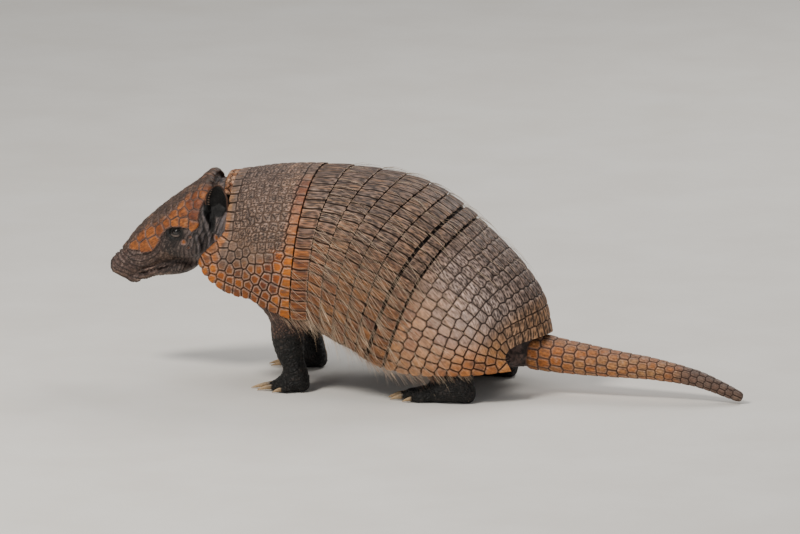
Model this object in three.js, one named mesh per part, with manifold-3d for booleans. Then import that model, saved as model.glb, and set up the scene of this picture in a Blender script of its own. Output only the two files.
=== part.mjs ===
// A yellow armadillo (Euphractus sexcinctus) with seven movable bands, standing still with its
// back arched and its head low. Millimetres, +Z up, head toward -X, left side toward -Y, feet on z = 0.
import * as THREE from "three";
import { mergeVertices } from "three/addons/utils/BufferGeometryUtils.js";
import Module from "manifold-3d";

const wasm = await Module();
wasm.setup();

// ---- driving dimensions ----
const GAP = 0.3; // clearance left between neighbouring solids
const SHELL = 5; // thickness of the bony shell
const BAND_GAP = 0.022; // half gap between shell plates, as a share of one station
const STEP = 1.1; // how far a plate's rear edge stands over the next plate
const BANDS = 7;

// Stations of the shell along the body: 0 front edge, 2 rear edge of the shoulder shield,
// 3 to 8 between the movable bands, 9 front edge of the hip shield, 13 its rear edge.
const SHELL_TOP_X = [-177, -139.6, -99.2, -73.2, -45.3, -21, 2.5, 19.5, 34, 47, 72, 94.4, 113, 121.3];
const SHELL_TOP_Z = [196, 202, 204.1, 203.6, 201.4, 198, 191.2, 182.6, 172, 161.9, 139.4, 115.8, 89, 57.8];
const SHELL_RIM_X = [-180, -150, -110, -92, -79.5, -67.5, -56, -46, -36.5, -20, 10, 40, 66, 88];
const SHELL_RIM_Z = [115, 88, 73, 73, 67, 59.5, 52.4, 46, 40, 32.4, 27, 27, 27.5, 30];
const SHELL_HALF = [52, 72, 81, 84, 86, 87, 87.5, 87.5, 87.5, 87, 86, 81, 71, 51];
const SHELL_WRAP = [98, 104, 108, 108, 108, 108, 108, 108, 108, 108, 108, 106, 102, 96];
const SHELL_SWEEP = [0.1, 0.2, 0.25, 0.7, 0.7, 0.65, 0.65, 0.5, 0.38, 0.34, 0.34, 0.4, 0.7, 1.2];
const SHOULDER_LOBE = 25; // how far the shoulder shield's lower corner reaches beside the neck
const SHOULDER_SAG = 11.5; // how far that shield's rim bulges down in front of the foreleg
const BELLY_Z = [96, 79, 61, 57, 52, 47, 43, 40, 37, 35, 33, 31, 31, 33];

// Sections of the flesh, each [top x, top z, bottom x, bottom z, half width].
const HEAD = [
  [-303.2, 99, -303.2, 99, 0],
  [-301, 106, -299.5, 94.2, 8.5],
  [-289, 116.5, -284, 88.6, 13],
  [-274.5, 135.5, -267, 94, 18.5],
  [-255, 154, -247, 99.5, 26],
  [-236.5, 168.5, -229, 104, 32.5],
  [-217, 182.5, -212, 109, 36.5],
  [-202, 192.5, -200, 114, 34],
  [-196, 162, -196, 140, 18],
  [-195, 150, -195, 150, 0],
];
// Half extent of the head shield round the head, in degrees, at the same sections.
const SHIELD_WRAP = [40, 45, 66, 82, 97, 77, 88, 66];
const JAW = [
  [-286.5, 88, -286.5, 88, 0],
  [-283.5, 91, -282, 84.8, 7.5],
  [-275, 95, -271, 87.6, 12],
  [-262, 101, -258, 93, 17.5],
  [-246, 107, -243, 94, 23.5],
  [-229, 112, -225, 98, 28.5],
  [-214, 108, -214, 108, 0],
];
const NECK = [
  [-214, 145, -214, 143, 0],
  [-210, 172, -213, 110, 26],
  [-200, 184.5, -205, 105, 29.5],
  [-187, 189, -191, 98, 36],
  [-172, 188, -172, 92, 46],
  [-158, 180, -156, 92, 48],
  [-150, 135, -150, 130, 0],
];
// Centre x, centre z and radius down the tail.
const TAIL = [
  [92, 41, 17], [112, 38.5, 16.6], [130, 36, 15.4], [160, 33, 13.6], [187.7, 30.6, 11.6],
  [212, 28.9, 10.1], [231, 26.6, 8.9], [250, 23.6, 7.7], [264.8, 20.2, 6.9], [284, 13.4, 5.8],
  [297, 8.2, 4.8], [303, 5.8, 3.4], [304.6, 5.2, 0],
];
// Limb sections, each [front x, back x, z, centre y, half width], from the body down.
const FORELEG = [
  [-120, -118, 106, -46, 0],
  [-139, -99, 94, -49, 17],
  [-133.5, -102, 68, -55, 15.5],
  [-132, -102.5, 48, -55, 13.5],
  [-127.5, -102.5, 33, -54, 12],
  [-120, -102, 21, -53.5, 11],
  [-113, -107, 10, -53.5, 0],
];
const HINDLEG = [
  [34, 38, 96, -44, 0],
  [2, 80, 78, -50, 20],
  [-8, 70, 52, -58, 20],
  [6, 62, 34, -61, 16],
  [24, 59, 20, -61, 12.5],
  [26, 57, 12, -61, 12],
  [38, 42, 7, -61, 0],
];
// Foot sections, each [x, top z, half width], from the heel forward.
const FOREFOOT = [[-97.5, 9, 0], [-100, 16, 8], [-108, 20, 11.5], [-118, 17.5, 13], [-127, 11.5, 12], [-131.5, 6, 0]];
const HINDFOOT = [[64, 8, 0], [60, 16, 9], [46, 20, 12], [26, 16, 14], [11, 12, 13.2], [5, 6, 0]];
// Toes, each [root x, offset from the foot's middle, tip x, tip offset, radius, claw length].
const FORETOES = [
  [-113, 10.5, -121, 13, 3.5, 10],
  [-118, 6.6, -132, 7.8, 4.1, 17],
  [-120, 0.6, -135, 0.4, 4.4, 18],
  [-118, -5.6, -131, -7.2, 4.1, 14],
  [-111, -10.5, -120, -13, 3.5, 9],
];
const HINDTOES = [
  [20, 11.5, 4, 13.6, 3.6, 9],
  [14, 7.5, -3, 8, 4.2, 12],
  [12, 0.6, -6, 0.4, 4.5, 13],
  [14, -6.2, -3, -7.4, 4.2, 12],
  [22, -11.5, 7, -13.8, 3.6, 9],
];
const STANCE = { fore: -12, hind: 9 }; // how far the right foot stands ahead (-) or behind the left
const FOREFOOT_Y = -53.5;
const HINDFOOT_Y = -61;
const NOSE = { x: -299.3, z: 98.9 };
const EYE = { x: -231.5, y: -27.2, z: 139.2, r: 4.9 };
const EAR = { base: [-196.6, -36.5, 144.5], top: [-187.4, -40, 188], faces: [-0.36, -0.92, 0.1], thick: 1.8 };
// Half width of the ear and half angle of its curl, from the base to the tip.
const EAR_HALF = [5, 8.6, 11.2, 12.9, 13.6, 12.9, 10.6, 5.2];
const EAR_CURL = [105, 100, 92, 84, 76, 66, 54, 40];

const rad = THREE.MathUtils.degToRad;
const clamp = THREE.MathUtils.clamp;

// Catmull-Rom value of a list at a fractional index; beyond the ends it goes on straight.
function along(list, at) {
  const last = list.length - 1;
  if (at <= 0) return list[0] + at * (list[1] - list[0]);
  if (at >= last) return list[last] + (at - last) * (list[last] - list[last - 1]);
  const i = Math.min(Math.floor(at), last - 1);
  const f = at - i;
  const p = (k) => (k < 0 ? 2 * list[0] - list[1] : k > last ? 2 * list[last] - list[last - 1] : list[k]);
  const [a, b, c, d] = [p(i - 1), p(i), p(i + 1), p(i + 2)];
  return b + 0.5 * f * (c - a + f * (2 * a - 5 * b + 4 * c - d + f * (3 * (b - c) + d - a)));
}

// The same for one column of a list of rows.
const column = (rows, k, at) => along(rows.map((row) => row[k]), at);

const smooth = (t) => {
  const c = clamp(t, 0, 1);
  return c * c * (3 - 2 * c);
};

// Point of the shell's surface: u is the station, a runs from -1 (left rim) over 0 (top) to 1.
function shellPoint(u, a) {
  const wrap = rad(along(SHELL_WRAP, u));
  const angle = Math.abs(a) * wrap;
  const height = (Math.cos(angle) - Math.cos(wrap)) / (1 - Math.cos(wrap));
  const sweep = along(SHELL_SWEEP, u);
  const lean = height - sweep * (height - height ** 4);
  const rimX = along(SHELL_RIM_X, u);
  const rimZ = along(SHELL_RIM_Z, u);
  const sag = SHOULDER_SAG * Math.sin(Math.PI * clamp(u, 0, 1) ** 0.6) * (1 - height) ** 3;
  const lobe = SHOULDER_LOBE * Math.max(0, 1 - u) ** 1.6 * smooth((0.45 - height) / 0.45);
  return new THREE.Vector3(
    rimX + (along(SHELL_TOP_X, u) - rimX) * lean - lobe,
    Math.sign(a) * along(SHELL_HALF, u) * Math.sin(angle) ** 0.92,
    rimZ + (along(SHELL_TOP_Z, u) - rimZ) * height - sag,
  );
}

function shellNormal(u, a) {
  const e = 0.01;
  const b = clamp(a, -0.995, 0.995);
  const du = shellPoint(u + e, b).sub(shellPoint(u - e, b));
  const da = shellPoint(u, b + e).sub(shellPoint(u, b - e));
  return du.cross(da).normalize();
}

// Point on a lofted body of sections [top x, top z, bottom x, bottom z, half width].
function sectionPoint(rows, at, angle, square = 1) {
  const [tx, tz, bx, bz, w] = [0, 1, 2, 3, 4].map((k) => column(rows, k, at));
  const v = (1 + Math.cos(angle)) / 2;
  const s = Math.sin(angle);
  return new THREE.Vector3(
    bx + (tx - bx) * v,
    Math.sign(s) * Math.max(w, 0) * Math.abs(s) ** square,
    bz + (tz - bz) * v,
  );
}

// ---- solids ----
// Moves every vertex of a geometry by a mapping and closes it into a manifold solid.
function bend(geometry, map) {
  const g = geometry.clone();
  g.deleteAttribute("uv");
  g.deleteAttribute("normal");
  const pos = g.getAttribute("position");
  const v = new THREE.Vector3();
  for (let i = 0; i < pos.count; i++) {
    const p = map(v.fromBufferAttribute(pos, i));
    pos.setXYZ(i, p.x, p.y, p.z);
  }
  const whole = mergeVertices(g, 1e-3);
  const faces = Array.from(whole.index.array);
  const at = whole.getAttribute("position");
  const [a, b, c] = [new THREE.Vector3(), new THREE.Vector3(), new THREE.Vector3()];
  const kept = [];
  let volume = 0;
  for (let i = 0; i < faces.length; i += 3) {
    const [p, q, r] = faces.slice(i, i + 3);
    if (p === q || q === r || r === p) continue;
    kept.push(p, q, r);
    a.fromBufferAttribute(at, p);
    b.fromBufferAttribute(at, q);
    c.fromBufferAttribute(at, r);
    volume += a.dot(b.cross(c));
  }
  if (volume < 0) for (let i = 0; i < kept.length; i += 3) [kept[i], kept[i + 1]] = [kept[i + 1], kept[i]];
  return new wasm.Manifold(
    new wasm.Mesh({ numProp: 3, vertProperties: at.array, triVerts: new Uint32Array(kept) }),
  );
}

// A plate of the shell between two stations, bent from a box.
function shellPlate(from, to, rows, { grow = 0, lift0 = 0, lift1 = STEP, reach = 1 } = {}) {
  const round = 18;
  return bend(new THREE.BoxGeometry(1, 1, 1, rows, round, 1), (p) => {
    const f = p.x + 0.5;
    const g = grow / 15;
    const u = from + (to - from) * f + (f < 0.01 ? -g : f > 0.99 ? g : 0);
    const a = 2 * p.y * (reach + grow / 90);
    const edge = smooth((Math.abs(2 * p.y) - 0.93) / 0.07);
    const outer = THREE.MathUtils.lerp(lift0, lift1, smooth(f)) - 1.6 * edge;
    const inner = -SHELL + 1.2 * edge;
    const d = p.z > 0 ? outer + grow : inner - grow;
    return shellPoint(u, a).addScaledVector(shellNormal(u, a), d);
  });
}

// The trunk fills the shell and closes it with the belly.
function trunkSolid(grow = 0) {
  const round = 22;
  const upper = 14; // steps of the section that follow the shell, the rest cross the belly
  const from = 0.25;
  const to = 12.8;
  const ring = (u, k) => {
    if (k <= upper) {
      const a = -1 + (2 * k) / upper;
      const d = SHELL + 1 - grow;
      return shellPoint(u, a * 0.985).addScaledVector(shellNormal(u, a * 0.985), -d);
    }
    const rim = ring(u, 0);
    const beta = (Math.PI * (k - upper)) / (round - upper);
    const low = along(BELLY_Z, u) - grow;
    const side = Math.sign(Math.cos(beta)) * Math.abs(Math.cos(beta)) ** 0.62;
    const drop = Math.sin(beta) ** 0.8;
    return new THREE.Vector3(rim.x - 3 * drop, -rim.y * side, rim.z + (low - rim.z) * drop);
  };
  return bend(new THREE.CylinderGeometry(1, 1, 1, round, 12), (p) => {
    const u = from + (to - from) * (p.y + 0.5) + (p.y < -0.49 ? -grow / 30 : p.y > 0.49 ? grow / 30 : 0);
    const r = Math.hypot(p.x, p.z);
    const k = Math.round((Math.atan2(p.x, p.z) / (2 * Math.PI)) * round + round) % round;
    const middle = shellPoint(u, 0).add(ring(u, upper + (round - upper) / 2)).multiplyScalar(0.5);
    return r < 0.5 ? middle : ring(u, k);
  });
}

// A closed body lofted from sections; every row of the sphere is one section.
function lofted(rows, count, round, { grow = 0, square = 1 } = {}) {
  const fat = rows.map(([tx, tz, bx, bz, w], i) => {
    if (!grow) return [tx, tz, bx, bz, w];
    const end = i === 0 || i === rows.length - 1;
    const len = Math.hypot(tx - bx, tz - bz) || 1;
    const [ux, uz] = [(tx - bx) / len, (tz - bz) / len];
    if (end) return [tx, tz, bx, bz, w];
    return [tx + grow * ux, tz + grow * uz, bx - grow * ux, bz - grow * uz, w + grow];
  });
  return bend(new THREE.SphereGeometry(1, round, count), (p) => {
    const row = Math.round((Math.acos(clamp(p.y, -1, 1)) / Math.PI) * count);
    const at = (row / count) * (rows.length - 1);
    const pole = row === 0 || row === count;
    return sectionPoint(fat, at, pole ? 0 : Math.atan2(p.x, p.z), square);
  });
}

// The head shield: a plate that wraps the top of the head.
function headShield(grow = 0) {
  return bend(new THREE.BoxGeometry(1, 1, 1, 9, 10, 1), (p) => {
    const at = 1.95 + 5.05 * (p.x + 0.5) + (p.x < -0.49 ? -grow / 15 : p.x > 0.49 ? grow / 12 : 0);
    const wrap = rad(along(SHIELD_WRAP, at)) + grow / 30;
    const edge = smooth((Math.abs(2 * p.y) - 0.85) / 0.15);
    const s = sectionPoint(HEAD, at, 2 * p.y * wrap);
    const e = 0.02;
    const du = sectionPoint(HEAD, at + e, 2 * p.y * wrap).sub(sectionPoint(HEAD, at - e, 2 * p.y * wrap));
    const da = sectionPoint(HEAD, at, 2 * p.y * wrap + e).sub(sectionPoint(HEAD, at, 2 * p.y * wrap - e));
    const n = du.cross(da).normalize();
    return s.addScaledVector(n, p.z > 0 ? 3.1 - 0.9 * edge + grow : 1.7 - grow);
  });
}

// The band of plates on the nape, between the head shield and the shoulder shield.
function nuchalBand(grow = 0) {
  return bend(new THREE.BoxGeometry(1, 1, 1, 1, 10, 1), (p) => {
    const angle = rad(52) * 2 * p.y * (1 + grow / 40);
    const r = (p.z > 0 ? 1.6 + grow : -1.6 - grow);
    const lean = 7 * (1 - Math.cos(angle));
    return new THREE.Vector3(
      -182.8 + (8.4 + 2 * grow) * p.x + lean,
      (41 + r) * Math.sin(angle),
      151.3 + (42.5 + r) * Math.cos(angle) ** 0.95 + 0.8 * p.x,
    );
  });
}

// A piece of the tail between two points of its path, with flat ends.
function tailPiece(from, to, rows, grow = 0) {
  return bend(new THREE.CylinderGeometry(1, 1, 1, 12, rows), (p) => {
    const at = from + (to - from) * (0.5 - p.y);
    const r = Math.max(column(TAIL, 2, at), 0) + grow;
    const e = 0.05;
    const dx = column(TAIL, 0, at + e) - column(TAIL, 0, at - e);
    const dz = column(TAIL, 1, at + e) - column(TAIL, 1, at - e);
    const len = Math.hypot(dx, dz);
    return new THREE.Vector3(
      column(TAIL, 0, at) - (dz / len) * r * p.z,
      r * 1.06 * p.x,
      column(TAIL, 1, at) + (dx / len) * r * p.z,
    );
  });
}

// A limb from sections [front x, back x, z, centre y, half width].
function limb(rows, grow = 0) {
  const count = 8;
  const round = 10;
  return bend(new THREE.SphereGeometry(1, round, count), (p) => {
    const row = Math.round((Math.acos(clamp(p.y, -1, 1)) / Math.PI) * count);
    const at = (row / count) * (rows.length - 1);
    const pole = row === 0 || row === count;
    const angle = Math.atan2(p.x, p.z);
    const [front, back, z, y, w] = [0, 1, 2, 3, 4].map((k) => column(rows, k, at));
    const half = pole ? 0 : (back - front) / 2 + grow;
    return new THREE.Vector3(
      (front + back) / 2 + half * Math.cos(angle),
      y + (pole ? 0 : Math.max(w, 0) + grow) * Math.sin(angle),
      z,
    );
  });
}

// The sole and back of a foot from sections [x, top z, half width], cut flat on the floor.
function footPad(rows, middle) {
  const count = 6;
  const round = 8;
  const low = -1.2;
  return bend(new THREE.SphereGeometry(1, round, count), (p) => {
    const row = Math.round((Math.acos(clamp(p.y, -1, 1)) / Math.PI) * count);
    const angle = Math.atan2(p.x, p.z);
    const at = (row / count) * (rows.length - 1);
    const pole = row === 0 || row === count;
    const [x, top, w] = [0, 1, 2].map((k) => column(rows, k, at));
    const bottom = THREE.MathUtils.lerp(top * 0.5, low, smooth(Math.max(w, 0) / 7));
    return new THREE.Vector3(
      x,
      middle + (pole ? 0 : Math.max(w, 0) * Math.sin(angle)),
      pole ? top * 0.6 : (top + bottom) / 2 + ((top - bottom) / 2) * Math.cos(angle),
    );
  });
}

// One toe: a rounded rod from its root down to a flat end, where its claw begins.
function toe([x0, y0, x1, y1, r], middle) {
  const heading = Math.atan2(y1 - y0, x1 - x0);
  return bend(new THREE.CylinderGeometry(1, 1, 1, 5, 2), (p) => {
    const t = 0.5 - p.y;
    const a = Math.atan2(p.x, p.z);
    const rr = r * (0.86 + 0.9 * t * (1 - t)) * Math.hypot(p.x, p.z);
    return new THREE.Vector3(
      THREE.MathUtils.lerp(x0, x1, t) - Math.sin(heading) * rr * Math.sin(a),
      middle + THREE.MathUtils.lerp(y0, y1, t) + Math.cos(heading) * rr * Math.sin(a),
      r * (0.84 + 0.9 * (1 - t) ** 1.3) + rr * Math.cos(a),
    );
  });
}

// A claw: it starts just beyond its toe, tapers and bends down to the floor.
function claw([x0, y0, x1, y1, r, length], middle) {
  const heading = Math.atan2(y1 - y0, x1 - x0);
  return bend(new THREE.CylinderGeometry(1, 1, 1, 5, 2), (p) => {
    const t = 0.5 - p.y;
    const a = Math.atan2(p.x, p.z);
    const rr = 0.68 * r * (1 - 0.86 * t ** 1.3) * Math.hypot(p.x, p.z);
    const s = GAP + length * t;
    return new THREE.Vector3(
      x1 + s * Math.cos(heading) - Math.sin(heading) * rr * 0.8 * Math.sin(a),
      middle + y1 + s * Math.sin(heading) + Math.cos(heading) * rr * 0.8 * Math.sin(a),
      THREE.MathUtils.lerp(r * 0.95, 0.7, t) + 0.3 * r * 4 * t * (1 - t) * 0.5 + rr * Math.cos(a),
    );
  });
}

// An ear: a leathery leaf curled into a scoop that opens outward and a little forward.
function ear(grow = 0) {
  const base = new THREE.Vector3(...EAR.base);
  const up = new THREE.Vector3(...EAR.top).sub(base);
  const face = new THREE.Vector3(...EAR.faces).normalize();
  const side = up.clone().cross(face).normalize();
  return bend(new THREE.BoxGeometry(1, 1, 1, 8, 6, 1), (p) => {
    const h = p.y + 0.5;
    const at = h * (EAR_HALF.length - 1);
    const curl = rad(along(EAR_CURL, at));
    const r = along(EAR_HALF, at) / Math.sin(Math.min(curl, Math.PI / 2));
    const t = Math.sign(p.z) * (EAR.thick / 2 + grow) * (1 - 0.4 * Math.abs(2 * p.x) ** 4);
    const angle = 2 * p.x * curl * (1 + grow / 20);
    const deep = (r + t) * Math.cos(angle) - r * Math.cos(curl);
    const rise = h + (h > 0.99 ? grow / 40 : 0) - 0.05 * (2 * p.x) ** 2 * h;
    return base.clone().addScaledVector(up, rise)
      .addScaledVector(side, (r + t) * Math.sin(angle)).addScaledVector(face, -deep);
  });
}

const ball = (x, y, z, r, w = 10, h = 6) =>
  bend(new THREE.SphereGeometry(r, w, h), (p) => p.clone().add(new THREE.Vector3(x, y, z)));

// ---- assembly ----
const armadillo = new THREE.Group();
armadillo.name = "armadillo";
const materials = {
  skin: 0x4a4038, scute: 0x8a6a4a, claw: 0xcbb693, eye: 0x0c0a09, nose: 0x3a302c,
};

function add(name, solid, slot) {
  const mesh = solid.getMesh();
  const geometry = new THREE.BufferGeometry();
  const n = mesh.numProp;
  const pos = new Float32Array(mesh.numVert * 3);
  for (let i = 0; i < mesh.numVert; i++) pos.set(mesh.vertProperties.subarray(i * n, i * n + 3), i * 3);
  geometry.setAttribute("position", new THREE.BufferAttribute(pos, 3));
  geometry.setIndex(new THREE.BufferAttribute(new Uint32Array(mesh.triVerts), 1));
  geometry.computeVertexNormals();
  const node = new THREE.Mesh(geometry, new THREE.MeshStandardMaterial({ color: materials[slot] }));
  node.name = name;
  armadillo.add(node);
}

// The largest body of a solid, without the crumbs and slivers a cut can leave.
function main(solid, within = 0.05) {
  return solid.simplify(within).decompose().sort((a, b) => b.volume() - a.volume())[0];
}

const mirror = (solid) => solid.mirror([0, 1, 0]);
const pair = (name, solid, slot) => {
  add(name + "_left", solid, slot);
  add(name + "_right", mirror(solid), slot);
};

// shell plates: node name, stations, rows
const plates = [["scapular_shield", 0, 2, 5, { lift0: 0.4, lift1: STEP }]];
for (let i = 0; i < BANDS; i++) plates.push(["band_" + (i + 1), 2 + i, 3 + i, 1, {}]);
plates.push(["pelvic_shield", 9, 13, 6, { lift1: 0.8 }]);
const span = (from, to) => [from + (from > 0 ? BAND_GAP : 0), to - (to < 13 ? BAND_GAP : 0)];
for (const [name, from, to, rows, options] of plates)
  add(name, shellPlate(...span(from, to), rows, options), "scute");

const grown = {
  scapular: shellPlate(0, 2 - BAND_GAP, 5, { grow: GAP, lift0: 0.4 }),
  pelvic: shellPlate(9 + BAND_GAP, 13, 6, { grow: GAP, lift1: 0.8 }),
  trunk: trunkSolid(GAP),
  head: lofted(HEAD, 12, 16, { grow: GAP }),
  headShield: headShield(0.5),
  nuchal: nuchalBand(GAP),
};
const eyeLeft = ball(EYE.x, EYE.y, EYE.z, EYE.r);
const eyeHole = ball(EYE.x, EYE.y, EYE.z, EYE.r + GAP);
const neck = main(
  lofted(NECK, 8, 14).subtract(grown.head).subtract(grown.headShield).subtract(grown.nuchal)
    .subtract(grown.scapular).subtract(grown.trunk),
);

// head
const nosePad = (grow = 0) =>
  bend(new THREE.SphereGeometry(1, 12, 6), (p) =>
    new THREE.Vector3(NOSE.x + (5.4 + grow) * p.x, (8.2 + grow) * p.y, NOSE.z + (7.2 + grow) * p.z),
  );
const neckGrown = lofted(NECK, 8, 14, { grow: 2 * GAP });
const earLeft = main(
  ear().subtract(grown.head).subtract(neckGrown).subtract(grown.nuchal).subtract(grown.scapular),
);
const head = main(
  lofted(HEAD, 12, 16).subtract(eyeHole).subtract(mirror(eyeHole)).subtract(nosePad(GAP)),
);
add("head", head, "skin");
const earHole = ear(GAP);
const shieldCut = headShield().subtract(grown.head).subtract(eyeHole).subtract(mirror(eyeHole)).subtract(earHole);
add("head_shield", main(shieldCut.subtract(mirror(earHole))), "scute");
add("nose", nosePad(), "nose");
add("lower_jaw", main(lofted(JAW, 9, 12).subtract(grown.head).subtract(neckGrown)), "skin");
pair("eye", eyeLeft, "eye");
pair("ear", earLeft, "skin");
add("neck", neck, "skin");
add("nuchal_band", main(nuchalBand().subtract(grown.scapular)), "scute");
add("trunk", main(trunkSolid().subtract(grown.scapular)), "skin");

// tail
const tailCut = grown.pelvic.add(grown.trunk);
add("tail_base", main(tailPiece(-0.8, 4 - 0.02, 6).subtract(tailCut)), "scute");
add("tail_middle", tailPiece(4, 7 - 0.02, 4), "scute");
add("tail_tip", tailPiece(7, 12, 6), "scute");

// limbs: the far pair stands a little ahead of the near one
const floor = wasm.Manifold.cube([800, 400, 50], true).translate([0, 0, -25]);
const body = trunkSolid(2 * GAP).add(grown.pelvic).add(grown.scapular);
function leg(prefix, rows, pad, toes, middle) {
  const foot = toes.reduce((all, t) => all.add(toe(t, middle)), footPad(pad, middle)).subtract(floor);
  const nails = toes.map((t) => claw(t, middle).subtract(floor));
  const ankle = wasm.Manifold.cube([400, 400, 100], true).translate([0, 0, -50 + pad[2][1] * 0.62]);
  const shank = limb(rows).subtract(ankle);
  const socket = limb(rows, GAP).subtract(ankle.translate([0, 0, -GAP]));
  for (const side of ["left", "right"]) {
    const place = (solid) => (side === "left" ? solid : mirror(solid).translate([STANCE[prefix], 0, 0]));
    add(`${prefix}leg_${side}`, main(place(shank).subtract(body)), "skin");
    add(`${prefix}foot_${side}`, main(place(foot.subtract(socket)), 0.25), "skin");
    nails.forEach((nail, i) => add(`${prefix}claw_${i + 1}_${side}`, main(place(nail)), "claw"));
  }
}
leg("fore", FORELEG, FOREFOOT, FORETOES, FOREFOOT_Y);
leg("hind", HINDLEG, HINDFOOT, HINDTOES, HINDFOOT_Y);

export default armadillo;
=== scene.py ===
"""A life-size yellow armadillo with seven movable bands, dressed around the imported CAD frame.

Shapes are worked out in millimetres, head toward -X and left side toward -Y, and go to metres in build().
"""
import math
import time

import bpy
import numpy as np
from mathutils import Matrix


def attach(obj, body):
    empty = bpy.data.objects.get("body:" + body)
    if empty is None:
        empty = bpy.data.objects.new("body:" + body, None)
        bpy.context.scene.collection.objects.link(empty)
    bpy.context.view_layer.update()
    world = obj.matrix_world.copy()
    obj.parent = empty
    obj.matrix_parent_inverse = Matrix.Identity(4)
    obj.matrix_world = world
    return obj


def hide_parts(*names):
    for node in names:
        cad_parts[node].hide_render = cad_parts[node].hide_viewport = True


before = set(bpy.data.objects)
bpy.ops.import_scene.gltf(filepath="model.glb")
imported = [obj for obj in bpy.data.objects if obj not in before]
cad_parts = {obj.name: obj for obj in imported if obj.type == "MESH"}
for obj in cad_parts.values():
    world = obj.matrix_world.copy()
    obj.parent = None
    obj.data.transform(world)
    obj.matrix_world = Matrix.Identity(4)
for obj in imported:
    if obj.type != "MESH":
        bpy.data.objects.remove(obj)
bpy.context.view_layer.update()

import openvdb
from mathutils import Vector, kdtree

MM = 0.001
START = time.time()


def note(text):
    print(f"[{time.time() - START:6.1f}s] {text}")


# ---- the shell's shape: the same stations as the CAD plates (0 front edge, 2 to 9 between bands, 13 rear) ----
SHELL_TOP_X = [-177, -139.6, -99.2, -73.2, -45.3, -21, 2.5, 19.5, 34, 47, 72, 94.4, 113, 121.3]
SHELL_TOP_Z = [196, 202, 204.1, 203.6, 201.4, 198, 191.2, 182.6, 172, 161.9, 139.4, 115.8, 89, 57.8]
SHELL_RIM_X = [-180, -150, -110, -92, -79.5, -67.5, -56, -46, -36.5, -20, 10, 40, 66, 88]
SHELL_RIM_Z = [115, 88, 73, 73, 67, 59.5, 52.4, 46, 40, 32.4, 27, 27, 27.5, 30]
SHELL_HALF = [52, 72, 81, 84, 86, 87, 87.5, 87.5, 87.5, 87, 86, 81, 71, 51]
SHELL_WRAP = [98, 104, 108, 108, 108, 108, 108, 108, 108, 108, 108, 106, 102, 96]
SHELL_SWEEP = [0.1, 0.2, 0.25, 0.7, 0.7, 0.65, 0.65, 0.5, 0.38, 0.34, 0.34, 0.4, 0.7, 1.2]
SHOULDER_LOBE = 25
SHOULDER_SAG = 11.5
REAR_SKIRT = 8.5
SHELL = 5
BANDS = 7

# ---- numbers ----
def along(values, at):
    """Catmull-Rom value of a list at fractional indices; beyond the ends it goes on straight."""
    v = np.asarray(values, float)
    last = len(v) - 1
    p = np.concatenate([[2 * v[0] - v[1]], v, [2 * v[-1] - v[-2]]])
    at = np.asarray(at, float)
    i = np.clip(np.floor(at).astype(int), 0, last - 1)
    f = at - i
    a, b, c, d = p[i], p[i + 1], p[i + 2], p[i + 3]
    mid = b + 0.5 * f * (c - a + f * (2 * a - 5 * b + 4 * c - d + f * (3 * (b - c) + d - a)))
    low = v[0] + at * (v[1] - v[0])
    high = v[-1] + (at - last) * (v[-1] - v[-2])
    return np.where(at <= 0, low, np.where(at >= last, high, mid))


def smooth(t):
    t = np.clip(t, 0, 1)
    return t * t * (3 - 2 * t)


def ramp(x, low, high):
    """0 below low, 1 above high, smooth between; low may be the greater."""
    return smooth((x - low) / (high - low))


def unit(v):
    return v / np.maximum(np.linalg.norm(v, axis=-1, keepdims=True), 1e-9)


def hash01(cells, seed=0):
    """A steady pseudo-random number from 0 to 1 for each row of whole numbers."""
    n = np.zeros(cells.shape[:-1], np.int64) + seed * 374761393
    for k, prime in zip(range(cells.shape[-1]), (73856093, 19349663, 83492791)):
        n = n ^ (cells[..., k].astype(np.int64) * prime)
    n = ((n ^ (n >> 13)) * 1274126177) & 0x7FFFFFFF
    n = ((n ^ (n >> 15)) * 668265263) & 0x7FFFFFFF
    return (n ^ (n >> 11)) % 1000003 / 1000003.0


def noise(p, size, seed=0):
    """Smooth value noise from -1 to 1 over 3-D points, with features about size across."""
    q = np.asarray(p, float) / size
    base = np.floor(q).astype(np.int64)
    f = smooth(q - base)
    total = 0.0
    for corner in range(8):
        step = np.array([corner & 1, corner >> 1 & 1, corner >> 2 & 1])
        weight = np.prod(np.where(step, f, 1 - f), axis=-1)
        total = total + weight * hash01(base + step, seed)
    return 2 * total - 1


def fractal(p, size, octaves=3, seed=0):
    return sum(noise(p, size / 2**k, seed + k) / 2**k for k in range(octaves)) / (2 - 2 ** (1 - octaves))


def cellular(p, size, seed=0):
    """Distances to the nearest and second nearest of jittered points, in cells, and the nearest one's number."""
    q = np.asarray(p, float) / size
    base = np.floor(q).astype(np.int64)
    first = np.full(q.shape[:-1], 9.0)
    second = first.copy()
    number = np.zeros(q.shape[:-1])
    for step in np.ndindex(3, 3, 3):
        cell = base + (np.array(step) - 1)
        spot = np.stack([hash01(cell, seed + k) for k in range(3)], -1) * 0.8 + 0.1
        d = np.linalg.norm(cell + spot - q, axis=-1)
        nearer = d < first
        second = np.where(nearer, first, np.minimum(second, d))
        number = np.where(nearer, hash01(cell, seed + 9), number)
        first = np.where(nearer, d, first)
    return first, second, number


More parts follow.
